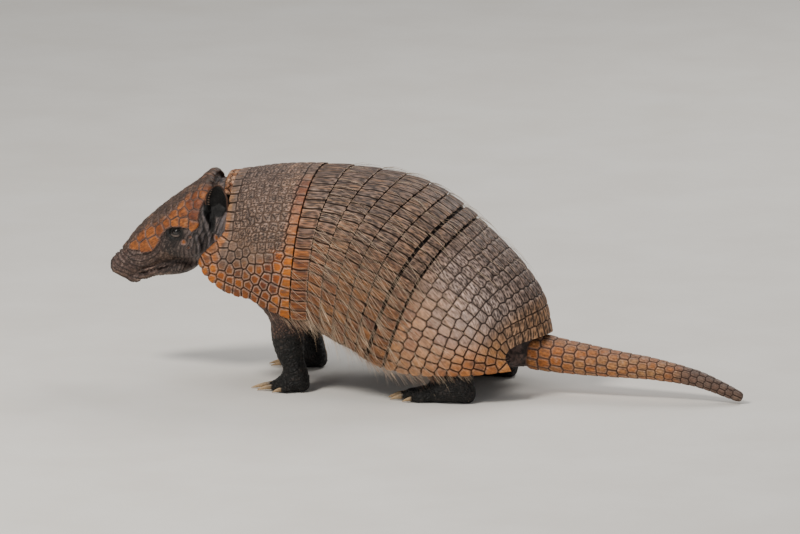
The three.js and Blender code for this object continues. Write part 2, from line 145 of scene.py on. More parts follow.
# ---- surfaces ----
def shell_point(u, a):
    """Point of the shell: u is the station, a runs from -1 (left rim) over 0 (top) to 1 (right rim)."""
    u, a = np.broadcast_arrays(np.asarray(u, float), np.asarray(a, float))
    wrap = np.radians(along(SHELL_WRAP, u))
    angle = np.abs(a) * wrap
    height = (np.cos(angle) - np.cos(wrap)) / (1 - np.cos(wrap))
    sweep = along(SHELL_SWEEP, u)
    lean = height - sweep * (height - height**4)
    rim_x = along(SHELL_RIM_X, u)
    rim_z = along(SHELL_RIM_Z, u)
    sag = SHOULDER_SAG * np.sin(np.pi * np.clip(u, 0, 1) ** 0.6) * (1 - height) ** 3
    skirt = REAR_SKIRT * smooth((u - 11.8) / 1.2) * (1 - height) ** 2
    lobe = SHOULDER_LOBE * np.maximum(0, 1 - u) ** 1.6 * smooth((0.45 - height) / 0.45)
    return np.stack([
        rim_x + (along(SHELL_TOP_X, u) - rim_x) * lean - lobe + skirt,
        np.sign(a) * along(SHELL_HALF, u) * np.sin(angle) ** 0.92,
        rim_z + (along(SHELL_TOP_Z, u) - rim_z) * height - sag,
    ], -1)


def shell_frame(u, a, e=0.01):
    """Steps of the shell per unit u and per unit a, and its outward normal."""
    b = np.clip(a, -0.995, 0.995)
    du = (shell_point(u + e, b) - shell_point(u - e, b)) / (2 * e)
    da = (shell_point(u, b + e) - shell_point(u, b - e)) / (2 * e)
    return du, da, unit(np.cross(du, da))


def arc_table(u, count=241):
    """Values of a from -1 to 1 and the arc length from the top at each, across the shell at station u."""
    a = np.linspace(-1, 1, count)
    steps = np.linalg.norm(np.diff(shell_point(u, a), axis=0), axis=1)
    s = np.concatenate([[0], np.cumsum(steps)])
    return a, s - s[-1] / 2


# ---- meshes ----
def build(name, points, faces, material, colours=None, extra=None, uv=None, smoothed=True, replaces=()):
    """A named mesh from points in mm and faces (arrays or lists of index rows), riding on the body."""
    mesh = bpy.data.meshes.new(name)
    rows = [np.asarray(f, np.int32) for f in faces] if isinstance(faces, list) else [np.asarray(faces, np.int32)]
    loops = np.concatenate([r.ravel() for r in rows])
    sizes = np.concatenate([np.full(len(r), r.shape[1], np.int32) for r in rows])
    starts = np.concatenate([[0], np.cumsum(sizes)[:-1]]).astype(np.int32)
    mesh.vertices.add(len(points))
    mesh.vertices.foreach_set("co", (np.asarray(points, np.float32) * MM).ravel())
    mesh.loops.add(len(loops))
    mesh.loops.foreach_set("vertex_index", loops)
    mesh.polygons.add(len(sizes))
    mesh.polygons.foreach_set("loop_start", starts)
    mesh.update(calc_edges=True)

    mesh.polygons.foreach_set("use_smooth", np.full(len(mesh.polygons), smoothed))
    if colours is not None:
        layer = mesh.color_attributes.new("tint", "FLOAT_COLOR", "POINT")
        rgba = np.ones((len(points), 4), np.float32)
        rgba[:, :3] = colours
        layer.data.foreach_set("color", rgba.ravel())
    for key, values in (extra or {}).items():
        kind = "FLOAT_VECTOR" if np.ndim(values) == 2 else "FLOAT"
        layer = mesh.attributes.new(key, kind, "POINT")
        layer.data.foreach_set("vector" if kind == "FLOAT_VECTOR" else "value", np.asarray(values, np.float32).ravel())
    if uv is not None:
        layer = mesh.uv_layers.new(name="OFBake")
        layer.data.foreach_set("uv", np.asarray(uv, np.float32).ravel())
    mesh.materials.append(material)
    piece = bpy.data.objects.new(name, mesh)
    bpy.context.scene.collection.objects.link(piece)
    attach(piece, "root")
    if replaces:
        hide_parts(*replaces)
    note(f"{name}: {sum(len(r) * (r.shape[1] - 2) for r in rows)} triangles")
    return piece


def grid_faces(rows, columns, offset=0, closed=False):
    """Quads of a grid of points, rows by columns; closed joins the last column to the first."""
    c = np.arange(columns if closed else columns - 1)
    r = np.arange(rows - 1)[:, None]
    n = (c + 1) % columns
    quads = np.stack([r * columns + c, r * columns + n, (r + 1) * columns + n, (r + 1) * columns + c], -1)
    return quads.reshape(-1, 4) + offset


def linear(*codes):
    """Linear colours of hex codes."""
    out = []
    for code in codes:
        c = np.array([int(code[k:k + 2], 16) for k in (0, 2, 4)]) / 255
        out.append(np.where(c <= 0.04045, c / 12.92, ((c + 0.055) / 1.055) ** 2.4))
    return out[0] if len(out) == 1 else out


def mix(a, b, t):
    t = np.asarray(t)[..., None]
    return a * (1 - t) + b * t


# ---- colours ----
# The last of these colours is a painted sheen: pale pinkish light reflected off the hip shield, painted into its
# colour.
ORANGE, RUST, TAN, GREY_BROWN, PURPLE, GROOVE, EDGE, DUST, PAINTED_SHEEN = linear(
    "ac6428", "88431f", "a8794c", "7c6252", "655650", "1a0e08", "b89a86", "c69c7e", "ae9a91")
BLACK_SKIN, SNOUT, NECK_SKIN, PALE_SKIN, BELLY, HAIR, HORN, LILAC, EAR_RIM, DARK_HAIR = linear(
    "0f0a08", "4a3a35", "4a4547", "8c7a71", "6b4f43", "d8c2a6", "b89a74", "93776e", "54382a", "7a5642")


# ---- scutes ----
def nearest_cells(points, seeds, flow, spare=9):
    """For each surface point its nearest seed, its distance to the cell's border, and where it is in the cell.

    flow is the direction in which the animal's length runs at each seed."""
    gaps = np.linalg.norm(seeds[:, None] - seeds[None], axis=-1)
    near = np.argsort(gaps, axis=1)[:, 1:spare]
    owner = np.empty(len(points), int)
    for start in range(0, len(points), 20000):
        p = points[start:start + 20000]
        owner[start:start + 20000] = np.argmin((seeds**2).sum(1) - 2 * p @ seeds.T, axis=1)
    border = np.full(len(points), 99.0)
    for k in range(near.shape[1]):
        other = seeds[near[owner, k]]
        own = seeds[owner]
        gap = other - own
        length = np.maximum(np.linalg.norm(gap, axis=1), 1e-6)
        border = np.minimum(border, np.abs((((own + other) / 2 - points) * gap).sum(1)) / length)
    local = points - seeds[owner]
    lengthwise = (local * flow[owner]).sum(1)
    across = np.sqrt(np.maximum((local**2).sum(1) - lengthwise**2, 0))
    return owner, border, lengthwise, across


def scute_height(border, groove=0.9, depth=1.3, dome=0.35, reach=4.0):
    """Height of a scute over its plate: a groove at the border, a shoulder, and a slight dome."""
    wall = smooth(border / groove)
    return -depth * (1 - wall) + dome * smooth(border / reach)


def relax(seeds, points, fixed, rounds=3):
    """Moves the free seeds to the middles of their cells, so that the scutes come out even."""
    seeds = seeds.copy()
    sample = points[:: max(1, len(points) // 30000)]
    for _ in range(rounds):
        owner = np.argmin((seeds**2).sum(1) - 2 * sample @ seeds.T, axis=1)
        total = np.zeros_like(seeds)
        np.add.at(total, owner, sample)
        count = np.bincount(owner, minlength=len(seeds))
        free = ~fixed & (count > 3)
        seeds[free] = total[free] / count[free][:, None]
    return seeds


def slab(outer, inner):
    """Points, faces and OFBake map of a closed plate: a fine outer grid over a coarse inner one."""
    rows, columns = outer.shape[:2]
    r, c = inner.shape[:2]
    points = np.concatenate([outer.reshape(-1, 3), inner.reshape(-1, 3)])
    base = rows * columns
    top = grid_faces(rows, columns)
    under = grid_faces(r, c, base)[:, ::-1]
    kr, kc = (rows - 1) // (r - 1), (columns - 1) // (c - 1)
    strips_r, strips_c = [], []
    for j in range(c - 1):
        low = [j * kc + k for k in range(kc + 1)]
        strips_c.append([base + j + 1, base + j] + low)
        high = [(rows - 1) * columns + k for k in low]
        strips_c.append([base + (r - 1) * c + j, base + (r - 1) * c + j + 1] + high[::-1])
    for j in range(r - 1):
        low = [(j * kr + k) * columns for k in range(kr + 1)]
        strips_r.append([base + j * c, base + (j + 1) * c] + low[::-1])
        high = [k + columns - 1 for k in low]
        strips_r.append([base + (j + 1) * c + c - 1, base + j * c + c - 1] + high)
    faces = [top, under, np.array(strips_c), np.array(strips_r)]
    uu, vv = np.meshgrid(np.linspace(0.005, 0.995, columns), np.linspace(0.11, 0.995, rows))
    iu, iv = np.meshgrid(np.linspace(0.005, 0.995, c), np.linspace(0.005, 0.06, r))
    flat = np.concatenate([np.stack([uu, vv], -1).reshape(-1, 2), np.stack([iu, iv], -1).reshape(-1, 2)])
    uv = [flat[top.ravel()], flat[under.ravel()]]
    for rowset, level in ((strips_c, 0.07), (strips_r, 0.09)):
        count = len(rowset)
        width = 0.99 / count
        side = len(rowset[0]) - 2
        for k in range(count):
            x0 = 0.005 + k * width
            along_edge = np.linspace(x0, x0 + width * 0.9, side)
            uv.append(np.array([[x0 + width * 0.9, level], [x0, level]]))
            uv.append(np.stack([along_edge, np.full(side, level + 0.015)], -1))
    return points, faces, np.concatenate(uv)


def arc_row(u, spacing, shift=0.0, margin=0.0):
    """Values of a for scutes evenly spaced across the shell at station u."""
    a, s = arc_table(u)
    reach = s[-1] - margin
    count = max(2, int(round(2 * reach / spacing)))
    width = 2 * reach / count
    spots = (np.arange(count + (1 if shift else 0)) + 0.5 - shift) * width - reach
    spots = spots[np.abs(spots) <= reach + 0.1]
    return np.interp(spots, s, a)


def rim_row(side, inset, spacing, shift, u0, u1):
    """Stations and values of a for a row of scutes that follows the rim at a distance."""
    u = np.linspace(u0, u1, 60)
    a = np.array([np.interp(arc_table(k)[1][-1] - inset, arc_table(k)[1], arc_table(k)[0]) for k in u]) * side
    p = shell_point(u, a)
    s = np.concatenate([[0], np.cumsum(np.linalg.norm(np.diff(p, axis=0), axis=1))])
    count = max(1, int(round(s[-1] / spacing)))
    spots = (np.arange(count) + 0.5 + shift) * s[-1] / count
    spots = spots[spots < s[-1] - 1]
    return np.interp(spots, s, u), np.interp(spots, s, a)


def scapular_seeds():
    """Stations, values of a and which are set rows, for the shoulder shield's scutes."""
    u, a, held = [], [], []
    rim_rows, rim_pitch = 3, 9.2
    for side in (-1, 1):
        for k in range(rim_rows):
            ru, ra = rim_row(side, (k + 0.5) * rim_pitch, 10.2, 0.5 * (k % 2) - 0.25, 0.0, 1.7)
            u += list(ru)
            a += list(ra)
            held += [True] * len(ru)
    last = arc_row(1.86, 9.9)
    u += [1.86] * len(last)
    a += list(last)
    held += [True] * len(last)
    for k, station in enumerate(np.arange(1.6, 0.02, -0.2)):
        row = arc_row(station, 9.4, 0.5 * (k % 2), margin=rim_rows * rim_pitch + 3)
        u += [station] * len(row)
        a += list(row)
        held += [False] * len(row)
    return np.array(u), np.array(a), np.array(held)


def pelvic_seeds():
    """The same for the hip shield: staggered rows across it, shorter toward the tail."""
    u, a = [], []
    for k, station in enumerate(9.26 + 0.395 * np.arange(10)):
        spacing = 10.6 - 0.25 * k
        row = arc_row(station, spacing, 0.5 * (k % 2))
        u += [station] * len(row)
        a += list(row)
    return np.array(u), np.array(a), np.array(u) < 9.7


def band_warmth(u, down, spread):
    """How orange the shell is: by station, by how far down the flank, and a random spread."""
    low = 0.81 - 0.17 * ramp(u, 0.9, 1.7)
    shoulder = ramp(down + 0.05 * spread, low, low + 0.1)
    flank = ramp(down + 0.12 * spread, 0.4, 0.8) * (0.85 - 0.15 * ramp(u, 2.6, 4.5) + 0.15 * ramp(u, 9.5, 12.5))
    return np.clip(shoulder + (flank - shoulder) * ramp(u, 1.75, 2.1), 0, 1)


def shell_tint(points, u, a, border, tone, streak):
    """Colour of the shell at each point, with a painted sheen on the hip shield and painted shade where it turns
    under; tone is a random number of its scute.
    """
    down = np.abs(a)
    wide = fractal(points, 38, 3, 11)
    fine = fractal(points, 5, 3, 12)
    warm = band_warmth(u, down, wide + 1.2 * (tone - 0.5))
    top = mix(PURPLE, GREY_BROWN, np.clip(0.25 + 1.1 * down + 0.4 * wide, 0, 1))
    # The hip shield's top is washed with the sheen colour: a painted sheen.
    top = mix(top, PAINTED_SHEEN * 0.86, 0.75 * ramp(u, 8.9, 9.6) * ramp(down, 0.1, 0.45))
    flank = mix(RUST, ORANGE, np.clip(0.5 + 0.9 * (tone - 0.5) + 0.4 * fine, 0, 1))
    flank = mix(flank, TAN, np.clip(0.3 + 0.5 * wide + 0.4 * (tone - 0.5) + 0.3 * ramp(u, 8, 10), 0, 1) * ramp(u, 2.2, 5))
    colour = mix(top, flank, warm)
    red_edge = ramp(u, 1.6, 1.8) * (1 - ramp(u, 2.0, 2.1)) * ramp(down, 0.12, 0.3)
    colour = mix(colour, mix(RUST, ORANGE, ramp(down, 0.35, 0.6)), 0.7 * red_edge)
    front = ramp(u, 0.16, 0.09) * ramp(down, 0.25, 0.5)
    colour = mix(colour, mix(TAN, ORANGE * 1.1, ramp(down, 0.5, 0.75)), 0.75 * front)
    # A painted sheen: a pale spot of reflected light, brightest in the middle of the hip shield's flank.
    sheen = np.exp(-((u - 10.9) / 1.1) ** 2 - ((down - 0.6) / 0.2) ** 2)
    colour = mix(colour, PAINTED_SHEEN * 1.25, 0.7 * sheen)
    colour = mix(colour, TAN * 1.05, 0.6 * ramp(u, 11.7, 12.3) * (1 - ramp(down, 0.65, 0.8)))
    hem = ramp(u, 10.6, 11.6) * ramp(down, 0.72, 0.88)
    colour = mix(colour, ORANGE * 1.0, 0.36 * hem)
    colour = mix(colour, TAN, 0.4 * streak)
    dusty = ramp(wide + 0.8 * fine, 0.15, 0.6) * (1 - ramp(down, 0.05, 0.35)) * (1 - ramp(u, 0.8, 2.5))
    colour = mix(colour, DUST * 1.15, 0.8 * dusty)
    colour = mix(colour, DUST, 0.3 * ramp(fine + 0.3 * wide, 0.3, 0.8) * (1 - warm))
    colour = colour * (1 + 0.22 * ramp(u, 8.8, 9.8))[:, None]
    colour = colour * (0.84 + 0.32 * tone)[:, None]
    shaded = ramp(down, 0.42, 0.6) * ramp(u, 0.2, 0.5)
    colour = colour * (1 - shaded * (0.32 * (1 - ramp(u, 1.5, 1.7)) + 0.22 * ramp(u, 1.95, 2.2) * (1 - ramp(u, 8.8, 9.4))))[:, None]
    level = (colour @ [0.3, 0.59, 0.11])[:, None]
    colour = np.maximum(level + (colour - level) * (1.04 + 0.12 * warm)[:, None], 0)
    # Darker toward the shoulder shield's rim, where it turns under: painted shade.
    colour = colour * (1 - 0.2 * ramp(down, 0.72, 0.86) * (1 - ramp(u, 1.9, 2.1)))[:, None]
    pale = ramp(border, 0.7, 1.2) * (1 - ramp(border, 1.4, 2.3))
    colour = mix(colour, EDGE, (0.36 + 0.3 * warm * (u < 2)) * pale)
    quiet = 0.55 * ramp(u, 0.1, 0.5) * ramp(1.72 - u, 0, 0.12) * ramp(0.8 - down, 0, 0.1)
    colour = mix(colour, PURPLE * 0.5, 0.5 * ramp(-fine - 0.3 * wide, 0.15, 0.6))
    return mix(colour, GROOVE, (0.95 - quiet) * (1 - ramp(border, 0.35, 1.15)))


def rim_fade(a):
    return smooth((np.abs(a) - 0.93) / 0.07)


def plate_inner(u0, u1, rows, columns, rear_rise):
    """Coarse inner side of a plate, thinner toward the rim and, where it overlaps the next, toward the rear."""
    u = np.linspace(u0, u1, rows)[:, None]
    a = np.linspace(-1, 1, columns)[None]
    u, a = np.broadcast_arrays(u, a)
    normal = shell_frame(u, a)[2]
    depth = -SHELL + 1.2 * rim_fade(a) + rear_rise * ramp(u, u1 - 0.3 * min(1, u1 - u0), u1)
    return shell_point(u, a) + normal * depth[..., None]


def shield(name, u0, u1, rows, columns, seeds, flange, material, lift, pitting, grain, coarse):
    """A shield of many-sided scutes; flange is how far it reaches forward under the plate before it.

    pitting gives how pitted it is at each place, and grain how short its pits are."""
    start = u0 - flange
    u, a = np.meshgrid(np.linspace(start, u1, rows), np.linspace(-1, 1, columns), indexing="ij")
    normal = shell_frame(u, a)[2]
    flat = shell_point(u, a).reshape(-1, 3)
    su, sa, held = seeds
    spots = shell_point(su, sa)
    spots = relax(spots, flat, held)
    jitter = np.stack([hash01(np.arange(len(spots))[:, None] * [[1, 7, 3]], 40 + k) for k in range(3)], -1) - 0.5
    spots = spots + 1.3 * jitter
    du, da, seed_normal = shell_frame(su, sa)
    owner, border, lengthwise, across = nearest_cells(flat, spots, unit(du))
    tone = hash01(np.arange(len(spots))[:, None] * [[3, 1, 5]], 50)[owner]
    front_skin = 0.0 if not flange else 1 - ramp(u.ravel(), u0 + 0.05, u0 + 0.11)
    border = np.minimum(border, 99 if not flange else (u.ravel() - u0 - 0.05) * 24)
    pitted = pitting(u.ravel(), a.ravel())
    height = scute_height(border, 0.9, 1.3 - 0.6 * pitted)
    hollows = pitted * ramp(fractal(flat, 2.6, 2, 5), 0.1, 0.6)
    height = height - 0.4 * hollows + 0.12 * fractal(flat, 3, 2, 3)
    f = (u.ravel() - u0) / (u1 - u0)
    rise = lift[0] + (lift[1] - lift[0]) * smooth(f) - 1.6 * rim_fade(a.ravel())
    height = np.where(f < 0, -2.6, height) + rise
    if flange:
        height = mix(height[:, None], np.full((len(height), 1), -2.4), front_skin)[:, 0]
    scallop = (1 - smooth(border / 3.2)).reshape(u.shape) * ramp(np.abs(a), 0.965, 1) * 0.009
    position = shell_point(u, a * (1 - scallop)) + normal * height.reshape(u.shape)[..., None]
    inner = plate_inner(start, u1, coarse[0], coarse[1], 3.4 if u1 < 13 else 1.5)
    points, faces, uv = slab(position, inner)
    streak = ramp(noise(np.stack([arc_mm(u, a).ravel() / 1.1, flat[:, 0] / 14, flat[:, 2] / 14], -1), 1, 8), 0.0, 0.8)
    colour = shell_tint(flat, u.ravel(), a.ravel(), border, tone, streak * (1 - pitted))
    colour = mix(colour, GROOVE * 1.2, 0.45 * hollows)
    if flange:
        colour = mix(colour, BLACK_SKIN * 1.6, front_skin)
    count = len(inner.reshape(-1, 3))
    colours = np.concatenate([colour, np.tile(BLACK_SKIN, (count, 1))])
    flow = np.stack([lengthwise * grain, arc_mm(u, a).ravel(), tone], -1)
    marks = {
        "flow": np.concatenate([flow, np.zeros((count, 3))]),
        "groove": np.concatenate([1 - ramp(border, 0.3, 1.2), np.ones(count)]),
        "pitted": np.concatenate([pitted * ramp(border, 0.5, 1.2), np.zeros(count)]),
    }
    return build(name, points, faces, material, colours, marks, uv, replaces=[name])


def arc_mm(u, a):
    """Rough distance across the shell from its top line, in mm."""
    return a * along([arc_table(k)[1][-1] for k in range(14)], u)


def band(k, material):
    """Movable band k, from 1: one row of oblong scutes with a soft fold of skin in front of them."""
    u0, u1 = k + 1.0, k + 2.0
    exposed = {7: 0.17, 6: 0.04, 5: 0.03}.get(k, 0.012)
    reach = arc_table(u0 + 0.5)[1][-1]
    count = int(round(2 * reach / 9.9))
    inside = np.array([0, 0.035, 0.075, 0.13, 0.22, 0.35, 0.5, 0.65, 0.78, 0.87, 0.925, 0.965])
    column = np.concatenate([(np.arange(count)[:, None] + inside).ravel(), [count]])
    body = exposed + (1 - exposed) * np.array(
        [0, 0.02, 0.045, 0.08, 0.13, 0.19, 0.26, 0.33, 0.4, 0.47, 0.54, 0.61, 0.68, 0.75, 0.81, 0.86, 0.9, 0.935,
         0.96, 0.978, 0.99, 1.0])
    rel = np.concatenate([[-0.22, -0.14, -0.07, -0.02, 0.3 * exposed, 0.65 * exposed, 0.9 * exposed], body])
    rows, columns = len(rel), len(column)
    scute = np.minimum(column.astype(int), count - 1)
    share = column - scute
    u = np.repeat(u0 + rel[:, None], columns, 1)
    sway = 0.05 * noise(np.stack([np.repeat(column.round()[None] * 5.1, rows, 0), u * 2.2, u * 0 + k], -1), 1, 6)
    place = column[None] + sway * np.minimum(1, 4 * np.abs(share - 0.5))[None] + 0 * u
    place[:, 0], place[:, -1] = 0, count
    a_of, s_of = arc_table(u0 + 0.5)
    a = np.interp(place / count * 2 * reach - reach, s_of, a_of)
    width = 2 * reach / count
    side = np.minimum(share, 1 - share)[None] * width + 0 * u
    tone = hash01(np.stack([scute + 0 * scute, scute * 0 + k, scute * 0], -1), 21)[None] + 0 * u
    pitch = np.linalg.norm(shell_frame(u, a)[0], axis=-1)
    from_step = (u - u0 - exposed) * pitch
    to_rear = (u1 - u) * pitch
    uneven = 0.5 * (hash01(np.stack([scute, scute * 0 + k, scute * 0 + 1], -1), 31) - 0.5)[None]
    u = u + np.where(rel[:, None] > 0.5, (uneven / pitch - 0.9 / pitch * (1 - smooth(side / 2.2)))
                     * ramp(rel[:, None], 0.6, 1), 0)
    normal = shell_frame(u, a)[2]
    flat = shell_point(u, a)
    border = np.minimum(side, np.where(from_step > 0, from_step + (0.3 if k > 5 else 0.6), 0))
    lines = np.exp(-((share - 0.27) / 0.05) ** 2) + np.exp(-((share - 0.73) / 0.05) ** 2)
    lines = lines[None] * ramp(from_step, 1.5, 4) * (0.6 + 0.4 * noise(flat, 4, 2))
    height = scute_height(border, 0.8, 1.1, 0.4, 3.5) - 0.35 * np.clip(lines, 0, 1)
    height = height - 0.6 * (1 - smooth(to_rear / 0.8)) + 0.1 * fractal(flat, 3, 2, 3)
    f = np.clip((u - u0) / (u1 - u0), 0, 1)
    rise = -0.2 + 1.0 * smooth(f) - 1.6 * rim_fade(a)
    skin = 1 - smooth((rel[:, None] - exposed) / 0.03) + 0 * u
    folds = 0.35 * noise(np.stack([u * 40, a * 30, u * 0], -1), 1, 7)
    height = np.where(skin > 0.99, -2.2 + folds, height + rise)
    position = flat + normal * height[..., None]
    inner_a = np.interp(np.arange(count + 1) / count * 2 * reach - reach, s_of, a_of)
    iu, ia = np.meshgrid(np.linspace(u0 + rel[0], u1 - 0.02, 8), inner_a, indexing="ij")
    depth = -SHELL + 1.2 * rim_fade(ia) + 3.4 * ramp(iu, u1 - 0.35, u1)
    inner = shell_point(iu, ia) + shell_frame(iu, ia)[2] * depth[..., None]
    points, faces, uv = slab(position, inner)
    p = flat.reshape(-1, 3)
    comb = noise(np.stack([(a * reach).ravel() / 0.9, p[:, 0] / 12, p[:, 2] / 12], -1), 1, 8)
    colour = shell_tint(p, u.ravel(), a.ravel(), border.ravel(), tone.ravel(), ramp(comb, 0.0, 0.6))
    colour = mix(colour, GROOVE * 1.5, 0.45 * ramp(-comb, 0.1, 0.6))
    colour = mix(colour, GROOVE * 1.5, 0.6 * np.clip(lines, 0, 1).ravel())
    hind = (1 - ramp(to_rear, 0.3, 1.1)).ravel()
    colour = mix(colour, EDGE * 1.15, 0.5 * hind * ramp(border.ravel(), 0.4, 1.0))
    colour = mix(colour, BLACK_SKIN * 1.8, skin.ravel())
    number = len(inner.reshape(-1, 3))
    colours = np.concatenate([colour, np.tile(BLACK_SKIN, (number, 1))])
    flow = np.stack([0.3 * from_step.ravel(), (a * reach).ravel(), tone.ravel()], -1)
    pitted = (0.9 - 0.55 * ramp(np.abs(a), 0.4, 0.85)) * ramp(border, 0.4, 1.0)
    marks = {
        "flow": np.concatenate([flow, np.zeros((number, 3))]),
        "groove": np.concatenate([1 - ramp(border.ravel(), 0.3, 1.2), np.ones(number)]),
        "pitted": np.concatenate([pitted.ravel(), np.zeros(number)]),
    }
    name = f"band_{k}"
    return build(name, points, faces, material, colours, marks, uv, replaces=[name])


# ---- head ----
# Sections [top x, top z, bottom x, bottom z, half width] from the nose back, as in the CAD head.
HEAD = [
    [-303.2, 99, -303.2, 99, 0], [-301, 106, -299.5, 94.2, 8.5], [-289, 116.5, -284, 88.6, 13],
    [-274.5, 135.5, -267, 94, 18.5], [-255, 154, -247, 99.5, 26], [-236.5, 168.5, -229, 104, 32.5],
    [-217, 182.5, -212, 109, 36.5], [-202, 192.5, -200, 114, 34], [-196, 162, -196, 140, 18],
    [-195, 150, -195, 150, 0],
]
SHIELD_WRAP = [40, 45, 66, 82, 97, 77, 88, 66]


def section_point(sections, at, angle):
    """Point of a lofted body: at is the section, angle 0 on top and a half turn underneath."""
    at, angle = np.broadcast_arrays(np.asarray(at, float), np.asarray(angle, float))
    tx, tz, bx, bz, w = (along([row[k] for row in sections], at) for k in range(5))
    v = (1 + np.cos(angle)) / 2
    return np.stack([bx + (tx - bx) * v, np.maximum(w, 0) * np.sin(angle), bz + (tz - bz) * v], -1)


def section_normal(sections, at, angle, e=0.02):
    du = section_point(sections, at + e, angle) - section_point(sections, at - e, angle)
    da = section_point(sections, at, angle + e) - section_point(sections, at, angle - e)
    return unit(np.cross(du, da))


# Middles of the large scutes down the side of the head, [x, z]; the first eleven make its lower and rear edge.
SIDE_SCUTES = [
    [-276, 121.5], [-263, 121], [-253.5, 129], [-247, 139.5], [-240, 146.5], [-231.5, 149], [-221.5, 149.5],
    [-213, 148], [-212, 157.5], [-209.5, 167.5], [-205, 176.5], [-269, 131], [-257, 136.5], [-223.5, 158.5],
    [-240, 158], [-246.5, 151.5],
]
EDGE_SCUTES = 11


def head_seeds():
    """Middles of the head shield's scutes, their directions, and which are real: the others bound its outline."""
    at, angle = np.meshgrid(np.linspace(1.6, 7.2, 281), np.radians(np.linspace(24, 122, 99)), indexing="ij")
    side = section_point(HEAD, at, angle)
    marks = [np.argmin(np.hypot(side[..., 0] - x, side[..., 2] - z)) for x, z in SIDE_SCUTES]
    mark_at, mark_angle = at.flat[marks], angle.flat[marks]
    limit_at = np.concatenate([[1.9, 2.4], mark_at[:EDGE_SCUTES], [7.1]])
    limit = np.concatenate([np.radians([34, 46]), mark_angle[:EDGE_SCUTES], [math.radians(50)]])
    chosen_at, chosen = [], []
    for sign in (-1, 1):
        shake = 0.05 * (hash01(np.stack([np.arange(len(marks))] * 3, -1), 7 + sign) - 0.5)
        chosen_at += list(mark_at + shake)
        chosen += list(sign * mark_angle + shake)
    fixed = len(chosen)
    real_points = list(section_point(HEAD, np.array(chosen_at), np.array(chosen)))
    ring_t = np.linspace(-2.2, 2.2, 220)
    top_at = np.linspace(2.02, 6.98, 400)
    top = section_point(HEAD, top_at, 0 * top_at)
    walk = np.concatenate([[0], np.cumsum(np.linalg.norm(np.diff(top, axis=0), axis=1))])
    for k, station in enumerate(np.interp(np.arange(0, walk[-1] + 1, 8.4), walk, top_at)):
        ring = section_point(HEAD, station, ring_t)
        s = np.concatenate([[0], np.cumsum(np.linalg.norm(np.diff(ring, axis=0), axis=1))])
        s = s - s[-1] / 2
        steps = np.arange(-6, 7) * 9.4 + (4.7 if k % 2 else 0)
        spots = np.interp(steps[np.abs(steps) < s[-1]], s, ring_t)
        for spot in spots[np.abs(spots) < np.interp(station, limit_at, limit) + 0.02]:
            here = section_point(HEAD, station, spot)
            if min(np.linalg.norm(here - other) for other in real_points[:fixed]) > 7.0:
                real_points.append(here)
                chosen_at.append(station)
                chosen.append(spot)
    at, angle = np.array(chosen_at), np.array(chosen)
    seeds = section_point(HEAD, at, angle)
    flow = unit(section_point(HEAD, at + 0.05, angle) - seeds)
    bounds = []
    for sign in (-1, 1):
        edge_at = np.concatenate([[2.1, 2.45], mark_at[:EDGE_SCUTES], [6.95]])
        edge = sign * np.concatenate([np.radians([33, 47]), mark_angle[:EDGE_SCUTES], [math.radians(42)]])
        chain = section_point(HEAD, edge_at, edge)
        step = unit(chain[2:] - chain[:-2])
        out = -sign * unit(np.cross(step, section_normal(HEAD, edge_at[1:-1], edge[1:-1])))
        bounds.append(chain[1:-1] + 9.6 * out)
    front = np.radians(np.arange(-44, 45, 17.6))
    bounds.append(section_point(HEAD, 1.62 + 0 * front, front))
    rear = np.radians(np.arange(-56, 57, 14))
    bounds.append(section_point(HEAD, 7.0 + 0 * rear, rear) + [9.0, 0, 0])
    extra = np.concatenate(bounds)
    return (np.concatenate([seeds, extra]), np.concatenate([flow, np.tile([[1.0, 0, 0]], (len(extra), 1))]),
            np.arange(len(seeds) + len(extra)) < len(seeds), fixed)


